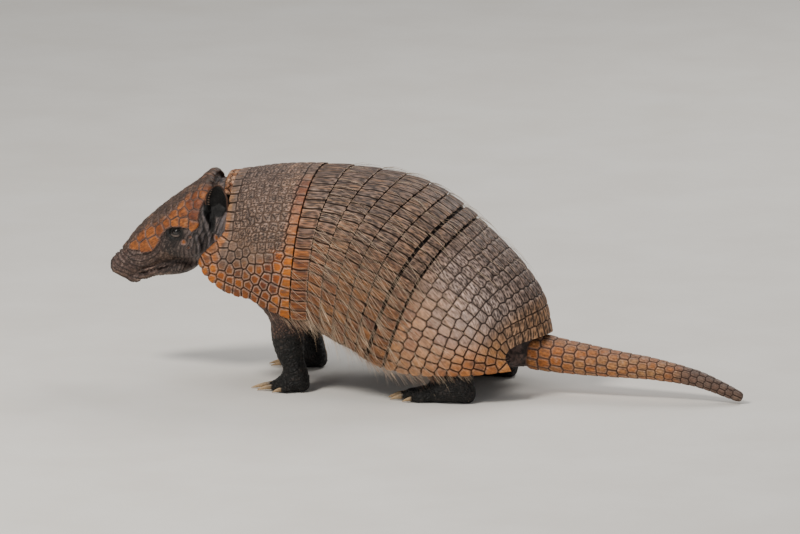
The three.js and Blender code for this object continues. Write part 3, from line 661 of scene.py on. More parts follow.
def head_shield(material):
    """The plate on the head: large scutes in mirror order, whose outer ones make its scalloped outline."""
    rows, columns = 193, 177
    at = np.linspace(1.8, 7.12, rows)[:, None]
    wrap = np.radians(along(SHIELD_WRAP, at)) + 0.2
    angle = np.linspace(-1, 1, columns)[None] * wrap
    at, angle = np.broadcast_arrays(at, angle)
    flat = section_point(HEAD, at, angle)
    normal = section_normal(HEAD, at, angle)
    seeds, flow, real, fixed = head_seeds()
    p = flat.reshape(-1, 3)
    seeds = relax(seeds, p, ~real | (np.arange(len(seeds)) < fixed), 4)
    owner, border, lengthwise, across = nearest_cells(p, seeds, flow)
    reach = 8.5 - np.linalg.norm(p - seeds[owner], axis=1)
    inside = real[owner]
    tone = hash01(np.arange(len(seeds))[:, None] * [[3, 1, 5]], 60)[owner]
    to_edge = np.where(inside, np.minimum(outline_distance(p, seeds, real, owner), reach), -border)
    border = np.minimum(border, np.maximum(reach, 0))
    turn = np.degrees(np.abs(angle).ravel())
    flank = ramp(turn, 26, 50)
    height = scute_height(border, 1.1, 0.45 + 0.5 * flank, 0.45, 3.5) + 2.5 + 0.16 * fractal(p, 3, 2, 9)
    height = height - 0.3 * ramp(noise(p, 2.4, 3), 0.3, 0.8)
    side = np.abs(angle).ravel() / wrap.repeat(columns, 1).ravel()
    sunk = ramp(to_edge, 1.3, -0.5)
    rim = np.maximum.reduce([sunk, ramp(side, 0.97, 1), ramp(at.ravel(), 1.86, 1.8), ramp(at.ravel(), 7.08, 7.12)])
    height = height * (1 - rim) - 2.4 * rim
    position = flat + normal * height.reshape(rows, columns)[..., None]
    inner_at = np.linspace(1.8, 7.12, 25)[:, None]
    inner_angle = np.linspace(-1, 1, 23)[None] * (np.radians(along(SHIELD_WRAP, inner_at)) + 0.2)
    inner_at, inner_angle = np.broadcast_arrays(inner_at, inner_angle)
    inner = section_point(HEAD, inner_at, inner_angle) - 3.2 * section_normal(HEAD, inner_at, inner_angle)
    points, faces, uv = slab(position, inner)
    wide, fine = fractal(p, 22, 3, 14), fractal(p, 4, 3, 15)
    dark_top = 40 - 7 * ramp(at.ravel(), 4, 6)
    bright = np.clip(ramp(turn + 12 * wide, dark_top, dark_top + 20) * ramp(at.ravel(), 2.35, 2.75), 0, 1)
    top_tint = mix(GREY_BROWN * 0.32, GREY_BROWN * 0.72, np.clip(0.4 + 0.7 * wide + 0.5 * (tone - 0.5), 0, 1))
    top_tint = mix(top_tint, RUST * 0.8, 0.4 * ramp(fine + wide, 0.1, 0.9))
    side_tint = mix(RUST * 0.75, ORANGE * 0.84, np.clip(0.6 + 0.9 * (tone - 0.5) + 0.35 * fine, 0, 1))
    colour = mix(top_tint, side_tint, bright)
    colour = mix(colour, DUST * 0.8, (0.45 - 0.25 * bright) * ramp(fine + 0.5 * wide, 0.3, 0.8))
    colour = mix(colour, PURPLE * 0.35, 0.8 * ramp(-fine, 0.1, 0.55) * (1 - 0.6 * bright))
    colour = mix(colour, RUST * 0.45, 0.6 * bright * ramp(fractal(p, 2.8, 2, 16), 0.05, 0.6))
    colour = colour * (0.86 + 0.28 * tone)[:, None]
    grout = mix(PURPLE * 0.5, LILAC * 0.72, np.clip(0.25 + 0.6 * flank + 0.4 * fine, 0, 1))
    colour = mix(colour, grout, 0.9 * (1 - ramp(border, 0.5, 1.15)))
    colour = mix(colour, GROOVE * 1.3, 0.85 * (1 - ramp(border, 0.15, 0.55)))
    colour = mix(colour, LILAC * 0.8, 0.8 * (1 - ramp(to_edge, 0.9, 1.7)))
    colour = mix(colour, BLACK_SKIN * 1.6, ramp(to_edge, 0.7, -0.1))
    count = inner.shape[0] * inner.shape[1]
    colours = np.concatenate([colour, np.tile(BLACK_SKIN, (count, 1))])
    marks = {
        "flow": np.concatenate([np.stack([0.6 * lengthwise, across, tone], -1), np.zeros((count, 3))]),
        "groove": np.concatenate([1 - ramp(border, 0.3, 1.2), np.ones(count)]),
        "pitted": np.concatenate([(0.75 - 0.55 * bright) * ramp(border, 0.5, 1.2), np.zeros(count)]),
    }
    return build("head_shield", points, faces, material, colours, marks, uv, replaces=["head_shield"])


def outline_distance(points, seeds, real, owner):
    """Signed distance to the outline between real and ghost cells, positive inside."""
    inside = real[owner]
    best = np.full(len(points), 99.0)
    for group, mask in ((~real, inside), (real, ~inside)):
        chosen = seeds[group]
        p = points[mask]
        own = seeds[owner[mask]]
        value = np.full(len(p), 99.0)
        for other in chosen:
            gap = other - own
            length = np.maximum(np.linalg.norm(gap, axis=1), 1e-6)
            near = length < 22
            d = np.abs((((own + other) / 2 - p) * gap).sum(1)) / length
            value = np.where(near, np.minimum(value, d), value)
        best[mask] = value
    return np.where(inside, best, -best)


def nuchal_band(material):
    """Two rows of small scutes across the nape."""
    rows, columns = 25, 145
    reach = math.radians(52)
    x = np.linspace(-1, 1, rows)[:, None] * 4.9
    angle = np.linspace(-1, 1, columns)[None] * reach
    x, angle = np.broadcast_arrays(x, angle)

    def arch(x, angle, lift):
        return np.stack([
            -182.8 + x + 7 * (1 - np.cos(angle)),
            (41 + lift) * np.sin(angle),
            151.3 + (42.5 + lift) * np.cos(angle) ** 0.95 + 0.09 * x,
        ], -1)

    flat = arch(x, angle, 1.2)
    p = flat.reshape(-1, 3)
    spots = []
    for k, level in enumerate((-2.6, 2.4)):
        turn = (np.arange(11 - k) - (10 - k) / 2) * math.radians(9.6)
        spots.append(arch(level + 0 * turn, turn, 1.2))
    seeds = np.concatenate(spots)
    owner, border, lengthwise, across = nearest_cells(p, seeds, np.tile([[1.0, 0, 0]], (len(seeds), 1)), 7)
    edge = np.minimum(4.9 - np.abs(x), (reach - np.abs(angle)) * 42).ravel()
    border = np.minimum(border, edge)
    tone = hash01(owner[:, None] * np.array([[3, 1, 5]]), 90)
    lift = 1.2 + scute_height(border, 0.9, 1.3, 0.5, 3) + 0.3 * fractal(p, 3, 3, 31)
    position = arch(x, angle, lift.reshape(rows, columns))
    ix, ia = np.meshgrid(np.linspace(-4.9, 4.9, 4), np.linspace(-reach, reach, 19), indexing="ij")
    points, faces, uv = slab(position, arch(ix, ia, -1.8))
    rough = fractal(p, 7, 3, 33)
    colour = mix(RUST, TAN, np.clip(0.2 + 0.6 * tone + 0.3 * rough, 0, 1))
    colour = mix(colour, DUST * 1.05, 0.85 * ramp(rough, -0.2, 0.4))
    colour = mix(colour, PURPLE * 0.5, 0.8 * ramp(-rough, 0.05, 0.5))
    colour = mix(colour, GROOVE, 0.9 * (1 - ramp(border, 0.25, 0.95)))
    colours = np.concatenate([colour, np.tile(BLACK_SKIN, (ix.size, 1))])
    marks = {
        "flow": np.concatenate([np.stack([lengthwise, across, tone], -1), np.zeros((ix.size, 3))]),
        "groove": np.concatenate([1 - ramp(border, 0.3, 1.2), np.ones(ix.size)]),
        "pitted": np.concatenate([0.6 * ramp(border, 0.5, 1.2), np.zeros(ix.size)]),
    }
    return build("nuchal_band", points, faces, material, colours, marks, uv, replaces=["nuchal_band"])


# ---- tail ----
# Centre x, centre z and radius down the tail, as in the CAD.
TAIL = [
    [92, 41, 17], [112, 38.5, 16.6], [130, 36, 15.4], [160, 33, 13.6], [187.7, 30.6, 11.6],
    [212, 28.9, 10.1], [231, 26.6, 8.9], [250, 23.6, 7.7], [264.8, 20.2, 6.9], [284, 13.4, 5.8],
    [297, 8.2, 4.8], [303, 5.8, 3.4], [304.6, 5.2, 0],
]


def tail_point(at, angle, lift=0.0, e=0.05):
    """Point of the tail, lift above its surface: at is the index down TAIL, angle 0 on top."""
    x, z, r = (along([row[k] for row in TAIL], at) for k in range(3))
    dx = along([row[0] for row in TAIL], at + e) - along([row[0] for row in TAIL], at - e)
    dz = along([row[1] for row in TAIL], at + e) - along([row[1] for row in TAIL], at - e)
    length = np.hypot(dx, dz)
    r = np.maximum(r, 0) + lift
    return np.stack([
        x - dz / length * r * np.cos(angle), r * 1.06 * np.sin(angle), z + dx / length * r * np.cos(angle)], -1)


def tail(material):
    """The tail's armour: rings of oblong scutes at its root, staggered smaller ones toward the tip."""
    centre = tail_point(np.linspace(0, 12, 600), 0 * np.linspace(0, 12, 600), -1e-3)
    s = np.concatenate([[0], np.cumsum(np.linalg.norm(np.diff(centre, axis=0), axis=1))])
    length = s[-1]
    at_of = lambda d: np.interp(d, s, np.linspace(0, 12, 600))
    rows, columns = 297, 120
    d = np.concatenate([np.linspace(0, length - 8, rows - 12), length - 8 + 8 * np.sin(np.linspace(0.12, 1, 12) * np.pi / 2)])
    at = at_of(d)[:, None]
    turn = (np.arange(columns) / columns * 2 * np.pi)[None]
    at, turn = np.broadcast_arrays(at, turn)
    flat = tail_point(at, turn)
    p = flat.reshape(-1, 3)
    spots, flows, d0, k = [], [], 15.5, 0
    while d0 < length - 3:
        here = float(at_of(d0))
        radius = max(float(along([row[2] for row in TAIL], here)), 2)
        pitch = 4.6 + 0.42 * radius
        count = max(6, int(round(2 * math.pi * radius / (3.6 + 0.38 * radius))))
        angles = (np.arange(count) + 0.5 * (k % 2)) / count * 2 * math.pi + 0.2
        angles = angles + 0.1 * (hash01(np.stack([np.arange(count), np.full(count, k), np.zeros(count)], -1), 5) - 0.5)
        spots.append(tail_point(np.full(count, here), angles))
        flows.append(np.tile(unit(tail_point(here + 0.1, 0.0) - tail_point(here, 0.0)), (count, 1)))
        d0 += pitch
        k += 1
    seeds, flow = np.concatenate(spots), np.concatenate(flows)
    owner, border, lengthwise, across = nearest_cells(p, seeds, flow)
    tone = hash01(owner[:, None] * np.array([[3, 1, 5]]), 61)
    along_tail = (d[:, None] / length + 0 * turn).ravel()
    root_skin = (1 - ramp(d, 9, 13))[:, None].repeat(columns, 1).ravel()
    hoops = crease((p[:, 0] + 0.8 * noise(p, 9, 41)) / 3.4)
    small = 1 - 0.55 * along_tail
    height = scute_height(border, 0.9, 1.0, 0.3, 3) * small + 0.5 + 0.35 * small * np.clip(lengthwise / 6, -1, 1)
    height = height * (1 - root_skin) - root_skin * (1.7 - 0.7 * hoops + 0.3 * noise(p, 3, 2)) + 0.1 * fractal(p, 2.5, 2, 17)
    height = height * np.clip((length - d) / 4, 0, 1)[:, None].repeat(columns, 1).ravel()
    position = tail_point(at, turn, height.reshape(rows, columns)).reshape(-1, 3)
    ends = np.array([tail_point(0.0, 0.0, -17.0), tail_point(12.0, 0.0, 0.0)])
    points = np.concatenate([position, ends])
    faces = grid_faces(rows, columns, closed=True)
    ring = np.arange(columns)
    n = (ring + 1) % columns
    near = np.stack([ring * 0 + rows * columns, n, ring], -1)
    far = np.stack([ring * 0 + rows * columns + 1, (rows - 1) * columns + ring, (rows - 1) * columns + n], -1)
    wide, fine = fractal(p, 20, 3, 23), fractal(p, 3.5, 3, 24)
    colour = mix(ORANGE, TAN, np.clip(0.35 + 0.6 * wide + 0.8 * (tone - 0.5), 0, 1))
    colour = mix(colour, GREY_BROWN * 1.2, np.clip(0.5 * ramp(np.cos(turn).ravel() + 0.3 * wide, 0.5, 1.0), 0, 1))
    dark = ramp(along_tail + 0.06 * wide, 0.62, 0.76)
    colour = mix(colour, PURPLE * 0.75, 0.85 * dark)
    colour = mix(colour, EDGE * 1.1, (0.35 - 0.25 * dark) * ramp(fine, 0.1, 0.6))
    colour = mix(colour, EDGE, (0.35 - 0.25 * dark) * ramp(border, 0.6, 1.0) * (1 - ramp(border, 1.1, 1.8)))
    colour = mix(colour, LILAC * 0.55, 0.85 * (1 - ramp(border, 0.6, 1.25)) * (1 - along_tail))
    colour = mix(colour, GROOVE, 0.85 * (1 - ramp(border, 0.2, 0.75)))
    # The root's bare skin is near-black in the bottoms of its folds and lilac on their ridges: painted shade in the
    # creases.
    colour = mix(colour, mix(BLACK_SKIN, LILAC * 0.5, hoops), root_skin)
    colours = np.concatenate([colour, colour[[0]], colour[[-1]]])
    marks = {
        "flow": np.concatenate([np.stack([0.6 * lengthwise, across, tone], -1), np.zeros((2, 3))]),
        "groove": np.concatenate([1 - ramp(border, 0.3, 1.2), [0, 0]]),
        "pitted": np.concatenate([0.35 * ramp(border, 0.5, 1.2), [0, 0]]),
    }
    return build("tail", points, [faces[:, ::-1], near[:, ::-1], far[:, ::-1]], material, colours, marks,
                 replaces=["tail_base", "tail_middle", "tail_tip"])


# ---- skin ----
JAW = [
    [-286.5, 88, -286.5, 88, 0], [-283.5, 91, -282, 84.8, 7.5], [-275, 95, -271, 87.6, 12],
    [-262, 101, -258, 93, 17.5], [-246, 107, -243, 94, 23.5], [-229, 112, -225, 98, 28.5],
    [-214, 108, -214, 108, 0],
]
NECK = [
    [-214, 145, -214, 143, 0], [-210, 172, -213, 110, 26], [-200, 184.5, -205, 105, 29.5],
    [-187, 189, -191, 98, 36], [-172, 188, -172, 92, 46], [-158, 180, -156, 92, 48],
    [-150, 135, -150, 130, 0],
]
BELLY_Z = [96, 79, 61, 57, 52, 47, 43, 40, 37, 35, 33, 31, 31, 33]
# Limb sections, each [front x, back x, z, centre y, half width], from the body down, for the left side.
FORELEG = [
    [-120, -118, 106, -46, 0], [-139, -99, 94, -49, 17], [-133.5, -102, 68, -55, 15.5],
    [-132, -102.5, 48, -55, 13.5], [-127.5, -102.5, 33, -54, 12], [-120, -102, 21, -53.5, 11],
    [-113, -107, 10, -53.5, 0],
]
HINDLEG = [
    [34, 38, 96, -44, 0], [2, 80, 78, -50, 20], [-8, 70, 52, -58, 20], [6, 62, 34, -61, 16],
    [24, 59, 20, -61, 12.5], [26, 57, 12, -61, 12], [38, 42, 7, -61, 0],
]
# Foot sections, each [x, top z, half width], from the heel forward.
FOREFOOT = [[-97.5, 9, 0], [-100, 16, 8], [-108, 20, 11.5], [-118, 17.5, 13], [-127, 11.5, 12], [-131.5, 6, 0]]
HINDFOOT = [[64, 8, 0], [60, 16, 9], [46, 20, 12], [26, 16, 14], [11, 12, 13.2], [5, 6, 0]]
# Toes, each [root x, offset from the foot's middle, tip x, tip offset, radius, claw length].
FORETOES = [
    [-113, 10.5, -121, 13, 3.5, 10], [-118, 6.6, -132, 7.8, 4.1, 17], [-120, 0.6, -135, 0.4, 4.4, 18],
    [-118, -5.6, -131, -7.2, 4.1, 14], [-111, -10.5, -120, -13, 3.5, 9],
]
HINDTOES = [
    [20, 11.5, 4, 13.6, 3.6, 9], [14, 7.5, -3, 8, 4.2, 12], [12, 0.6, -6, 0.4, 4.5, 13],
    [14, -6.2, -3, -7.4, 4.2, 12], [22, -11.5, 7, -13.8, 3.6, 9],
]
STANCE = {"fore": -12, "hind": 9}  # how far the right foot stands ahead (-) or behind the left
FOREFOOT_Y, HINDFOOT_Y = -53.5, -61
EYE = np.array([-231.5, -27.2, 139.2])
EYE_RADIUS = 4.9
NOSE = np.array([-299.3, 0.0, 98.9])
EAR_BASE, EAR_TOP = np.array([-196.6, -36.5, 144.5]), np.array([-187.4, -40.0, 188.0])
EAR_FACES = unit(np.array([-0.36, -0.92, 0.1]))
EAR_HALF = [5, 8.6, 11.2, 12.9, 13.6, 12.9, 10.6, 5.2]
EAR_CURL = [105, 100, 92, 84, 76, 66, 54, 40]
EAR_REAR = [0.1, 0.1, 0.14, 0.62, 0.9, 1, 1, 1]  # how much of its curl the rear and the front edge reach
EAR_FRONT = [0.35, 0.35, 0.4, 0.84, 0.97, 1, 1, 1]
MIRROR = np.array([1.0, -1.0, 1.0])


def closed_tube(rings):
    """Points and triangles of rings of points, closed by a point in the middle of each end ring."""
    rows, columns = rings.shape[:2]
    quads = grid_faces(rows, columns, closed=True)
    ring = np.arange(columns)
    n = (ring + 1) % columns
    last = (rows - 1) * columns
    near = np.stack([ring * 0 + rows * columns, n, ring], -1)
    far = np.stack([ring * 0 + rows * columns + 1, last + ring, last + n], -1)
    points = np.concatenate([rings.reshape(-1, 3), [rings[0].mean(0), rings[-1].mean(0)]])
    return points, np.concatenate([quads[:, [0, 1, 2]], quads[:, [0, 2, 3]], near, far])


def closed_plate(outer, inner):
    """Points and triangles of a thin body between two grids of points of the same size."""
    rows, columns = outer.shape[:2]
    count = rows * columns
    index = np.arange(count).reshape(rows, columns)
    loop = np.concatenate([index[0], index[1:, -1], index[-1, -2::-1], index[-2:0:-1, 0]])
    after = np.roll(loop, -1)
    quads = np.concatenate([
        grid_faces(rows, columns), grid_faces(rows, columns, count)[:, ::-1],
        np.stack([after, loop, loop + count, after + count], -1)])
    points = np.concatenate([outer.reshape(-1, 3), inner.reshape(-1, 3)])
    return points, np.concatenate([quads[:, [0, 1, 2]], quads[:, [0, 2, 3]]])


def turns(count):
    return (np.arange(count) / count * 2 * np.pi)[None]


def lofted(sections, rows=60, columns=48):
    at = np.linspace(0.02, len(sections) - 1.02, rows)[:, None]
    return closed_tube(section_point(sections, at, turns(columns)))


def limb(sections, shift=0.0, rows=40, columns=36):
    at = np.linspace(0.04, len(sections) - 1.04, rows)[:, None]
    front, back, z, y, w = (along([row[k] for row in sections], at) for k in range(5))
    t = turns(columns)
    return closed_tube(np.stack([
        (front + back) / 2 + (back - front) / 2 * np.cos(t) + shift,
        y + np.maximum(w, 0) * np.sin(t), z + 0 * t], -1))


def foot_pad(sections, middle, shift=0.0, rows=26, columns=28):
    at = np.linspace(0.03, len(sections) - 1.03, rows)[:, None]
    x, top, w = (along([row[k] for row in sections], at) for k in range(3))
    w = np.maximum(w, 0)
    bottom = top * 0.5 + (-1.2 - top * 0.5) * smooth(w / 7)
    t = turns(columns)
    return closed_tube(np.stack([
        x + shift + 0 * t, middle + w * np.sin(t), (top + bottom) / 2 + (top - bottom) / 2 * np.cos(t)], -1))


def toe(row, middle, shift=0.0, rows=14, columns=16):
    x0, y0, x1, y1, r, _ = row
    heading = math.atan2(y1 - y0, x1 - x0)
    t = np.linspace(0, 1, rows)[:, None]
    a = turns(columns)
    rr = r * (0.86 + 0.9 * t * (1 - t)) * np.where(t > 0.94, 0.86, 1)
    knuckle = 0.5 * np.exp(-((t - 0.45) / 0.16) ** 2)
    return closed_tube(np.stack([
        x0 + (x1 - x0) * t - math.sin(heading) * rr * np.sin(a) + shift,
        middle + y0 + (y1 - y0) * t + math.cos(heading) * rr * np.sin(a),
        r * (0.84 + 0.9 * (1 - t) ** 1.3) + rr * np.cos(a) + knuckle], -1))


def trunk():
    """The body inside the shell, closed by the belly; its hidden top lies deep under the shell."""
    upper, lower = 56, 34
    u = np.linspace(0.25, 12.9, 70)[:, None]
    a = np.linspace(-1, 1, upper)[None] * 0.985
    depth = SHELL + 1 + 34 * ramp(np.abs(a), 0.82, 0.4)
    top = shell_point(u, a) - shell_frame(u, a)[2] * (depth * np.minimum(1, (13.6 - u) / 2.5))[..., None]
    beta = (np.pi * np.arange(1, lower) / lower)[None]
    side = np.sign(np.cos(beta)) * np.abs(np.cos(beta)) ** 0.62
    drop = np.sin(beta) ** 0.8
    rim = top[:, -1:]
    low = along(BELLY_Z, u)
    belly = np.stack([rim[..., 0] - 3 * drop, rim[..., 1] * side, rim[..., 2] + (low - rim[..., 2]) * drop], -1)
    return closed_tube(np.concatenate([top, belly], 1))


def tail_root():
    """Flesh that carries the tail out of the shell."""
    x = np.linspace(60, 105, 20)[:, None]
    r = 14 + 16 * ramp(x, 104, 62)
    t = turns(32)
    z = 41 - (x - 92) * 0.12 + 6 * ramp(x, 104, 62)
    return closed_tube(np.stack([x + 0 * t, 1.1 * r * np.sin(t), z + 0.95 * r * np.cos(t)], -1))


def ear_point(h, x, thick):
    """Point of the left ear: h from base to tip, x from -1 to 1 across its curl, thick off its middle."""
    x = x * np.where(x > 0, along(EAR_REAR, 7 * h), along(EAR_FRONT, 7 * h))
    up = EAR_TOP - EAR_BASE
    side = unit(np.cross(up, EAR_FACES))
    at = h * (len(EAR_HALF) - 1)
    curl = np.radians(along(EAR_CURL, at))
    r = along(EAR_HALF, at) / np.sin(np.minimum(curl, np.pi / 2))
    angle = x * curl
    deep = (r + thick) * np.cos(angle) - r * np.cos(curl)
    rise = h - 0.05 * x**2 * h
    return (EAR_BASE + up * rise[..., None] + side * ((r + thick) * np.sin(angle))[..., None]
            - EAR_FACES * deep[..., None])


def ear_collar():
    """The back of the ear's root, thick enough to melt into the neck and head."""
    h = np.linspace(-0.08, 0.34, 14)[:, None]
    x = np.linspace(-1, 1, 31)[None]
    h, x = np.broadcast_arrays(h, x)
    return closed_plate(ear_point(h, x, 1.7 - 1.2 * ramp(h, 0.1, 0.34)), ear_point(h, x, -0.5 + 0 * h))


def ear_flap():
    """The left ear's leathery leaf: points, triangles, and how far each point is toward its rim or inside."""
    rows, columns = 57, 49
    h = np.linspace(-0.04, 1, rows)[:, None]
    x = np.sin(np.linspace(-1, 1, columns) * np.pi / 2)[None]
    h, x = np.broadcast_arrays(h, x)
    reach = np.where(x > 0, along(EAR_REAR, 7 * h), along(EAR_FRONT, 7 * h))
    edge = np.minimum((1 - np.abs(x)) * along(EAR_HALF, h * 7) * reach, (1 - h) * 43)
    round_off = np.sqrt(np.clip(edge / 1.1, 0, 1))
    half = (0.62 + 0.28 * (1 - h)) * round_off + 0.28 * ramp(edge, 2.2, 0.9) * round_off
    wave = 0.5 * noise(np.stack([h * 9, x * 5, 0 * h], -1), 1.0, 4) * (1 - ramp(edge, 3, 1))
    comb = 0.8 * ramp(np.sin(h * 105), 0, 1) * np.exp(-((x + 0.8) / 0.05) ** 2) * ramp(h, 0.12, 0.25) * ramp(h, 0.97, 0.8)
    outer = ear_point(h, x, half + wave)
    inner = ear_point(h, x, wave - half - comb)
    points, triangles = closed_plate(outer, inner)
    zero = np.zeros(h.size)
    return points, triangles, np.tile(edge.ravel(), 2), np.concatenate([zero, zero + 1]), np.concatenate([zero, comb.ravel()])


# The skin is sampled in a space stretched so that its head has finer cells than its body.
FINE, COARSE = 1.08, 3.0
_x = np.linspace(-360, 360, 2881)
_cell = FINE + (COARSE - FINE) * ramp(_x, -182, -140)
_xi = np.concatenate([[0], np.cumsum(0.25 / ((_cell[1:] + _cell[:-1]) / 2))])


def stretch(p):
    cell = np.interp(p[..., 0], _x, _cell)
    return np.stack([np.interp(p[..., 0], _x, _xi), p[..., 1] / cell, p[..., 2] / cell], -1)


def unstretch(q):
    x = np.interp(q[..., 0], _xi, _x)
    cell = np.interp(x, _x, _cell)
    return np.stack([x, q[..., 1] * cell, q[..., 2] * cell], -1)


BAND_CELLS = 7.0  # how far from each surface its distance is known, in cells


class Field:
    """Signed distances, in cells, on a lattice of the stretched space."""

    def __init__(self, low, high):
        self.low = np.floor(stretch(np.array(low, float))).astype(int) - 4
        high = np.ceil(stretch(np.array(high, float))).astype(int) + 4
        cells = np.array([stretch(np.array([x, y, z], float)) for x in (low[0], -185.0) for y in (low[1],) for z in (0,)])
        self.low[1] = int(cells[:, 1].min()) - 4
        self.shape = (high[0] - self.low[0], 2 * abs(self.low[1]) + 1, int(max(high[2], 210 / FINE)) + 4 - self.low[2])
        self.values = np.full(self.shape, BAND_CELLS, np.float32)

    def solid(self, mesh):
        points, triangles = mesh
        q = stretch(points).astype(np.float32)
        grid = openvdb.FloatGrid.createLevelSetFromPolygons(
            q, triangles=triangles.astype(np.uint32), halfWidth=BAND_CELLS)
        low = np.maximum(np.floor(q.min(0)).astype(int) - 9, self.low)
        high = np.minimum(np.ceil(q.max(0)).astype(int) + 9, self.low + np.array(self.shape))
        values = np.zeros(high - low, np.float32)
        grid.copyToArray(values, ijk=tuple(int(v) for v in low))
        place = tuple(slice(a - b, c - b) for a, b, c in zip(low, self.low, high))
        return place, values

    def join(self, mesh, melt):
        """Adds a solid; melt is how many cells wide the fillet where it meets the rest is."""
        place, other = self.solid(mesh)
        mine = self.values[place]
        blend = np.clip(melt - np.abs(mine - other), 0, None)
        self.values[place] = np.minimum(mine, other) - blend**2 / (4 * melt)

    def points(self, low, high):
        """A box of the lattice as a slice and its cells' places in mm."""
        corners = stretch(np.array([low, high, [low[0], high[1], high[2]], [high[0], low[1], low[2]]], float))
        a = np.maximum(np.floor(corners.min(0)).astype(int), self.low)
        b = np.minimum(np.ceil(corners.max(0)).astype(int), self.low + np.array(self.shape))
        place = tuple(slice(i - j, k - j) for i, j, k in zip(a, self.low, b))
        axes = [np.arange(i, k) for i, k in zip(a, b)]
        return place, unstretch(np.stack(np.meshgrid(*axes, indexing="ij"), -1).astype(float))

    def add_shape(self, low, high, distance, melt):
        """Adds (or with a negative melt cuts) a shape whose distance in mm is worked out at each cell."""
        place, p = self.points(low, high)
        cell = np.interp(p[..., 0], _x, _cell)
        other = (distance(p) / cell).astype(np.float32)
        mine = self.values[place]
        k = abs(melt)
        if melt > 0:
            self.values[place] = np.minimum(mine, other) - np.clip(k - np.abs(mine - other), 0, None) ** 2 / (4 * k)
        else:
            other = -other
            self.values[place] = np.maximum(mine, other) + np.clip(k - np.abs(mine - other), 0, None) ** 2 / (4 * k)

    def side_at(self, x, z, side):
        """Y of the outermost surface over (x, z) on one side, or None."""
        i, _, k = (stretch(np.array([x, 0.0, z])) - self.low).round().astype(int)
        inside = np.flatnonzero(self.values[i, :, k] < 0)
        if not len(inside):
            return None
        j = inside[0] if side > 0 else inside[-1]
        return unstretch(np.array([i, j, k]) + self.low)[1]

    def mesh(self):
        grid = openvdb.FloatGrid(BAND_CELLS)
        grid.copyFromArray(self.values, ijk=tuple(int(v) for v in self.low))
        points, triangles, quads = grid.convertToPolygons(0.0, 0.0)
        return unstretch(points.astype(float)), quads.astype(np.int64)[:, ::-1]


def ellipsoid(centre, radii):
    centre, radii = np.array(centre, float), np.array(radii, float)
    return lambda p: (np.linalg.norm((p - centre) / radii, axis=-1) - 1) * radii.min()


def tube_distance(path, radii):
    """Distance to a chain of round rods through the points of path."""
    path = np.array(path, float)
    radii = np.broadcast_to(np.array(radii, float), (len(path),))

    def distance(p):
        best = np.full(p.shape[:-1], 1e3)
        for a, b, ra, rb in zip(path[:-1], path[1:], radii[:-1], radii[1:]):
            t = np.clip(((p - a) @ (b - a)) / ((b - a) @ (b - a)), 0, 1)
            d = np.linalg.norm(p - a - t[..., None] * (b - a), axis=-1) - (ra + (rb - ra) * t)
            best = np.minimum(best, d)
        return best
    return distance


def both_sides(path):
    path = np.array(path, float)
    return [path, path * MIRROR]


# The dark cleft between the head shield and the ear, and the hollow of the ear, from above down.
EAR_CLEFT = [[-201, -42, 172], [-199, -42, 160], [-197, -42.5, 152], [-196, -43.5, 144]]
EAR_CLEFT_RADII = [2.6, 4.8, 4.4, 1.8]
EAR_HOLLOW = [[-187, -40, 177], [-189, -39, 169], [-190.5, -39, 163], [-193.5, -41, 155.5]]
EAR_HOLLOW_RADII = [10.5, 10.2, 8.2, 4.0]
# What is black round the ear, as chains of x and z and their radii: the cleft and the opening.
EAR_SHADE = [
    ([[-201, 172], [-198.5, 160], [-196.4, 151.7], [-195.8, 143.3]], [4.0, 4.6, 3.4, 0.8]),
    ([[-186.5, 178], [-188, 170], [-191, 163]], [9.5, 9.2, 6.4]),
]
# Folds of bare skin behind and below the ear, each its path and thickness.
NECK_FOLDS = [
    ([[-178.5, -43, 168], [-183.5, -46.5, 157], [-189.5, -48, 141], [-194, -47.5, 128]], 2.0),
    ([[-175, -47, 164], [-178.5, -50, 158], [-182.5, -51, 147], [-188, -50.5, 136]], 1.8),
    ([[-204, -39, 160], [-200.5, -43, 147], [-198.5, -44, 136], [-200, -43, 124]], 1.8),
    ([[-210.5, -37.5, 138], [-209, -39, 126], [-212, -37, 112]], 1.6),
]


# Two folds under the eye.
LID_FOLDS = [
    [[-238.5, -28.3, 135.4], [-235, -30.6, 133.0], [-231, -31.4, 132.3], [-227, -31.2, 133.6], [-223.5, -30.4, 136.4]],
    [[-237.5, -29.3, 130.6], [-232, -31.4, 128.8], [-225.5, -32.0, 130.4]],
]
# The line of the closed mouth, from under the nose back to its corner below the eye.
MOUTH = [[-282.5, -9.4, 89.6], [-279, -11.8, 91.0], [-273.8, -14.2, 93.1], [-266, -17.0, 96.4],
         [-258, -20.2, 99.8], [-250.7, -23.2, 103.2], [-243, -26.0, 106.0], [-237.6, -27.6, 107.6]]


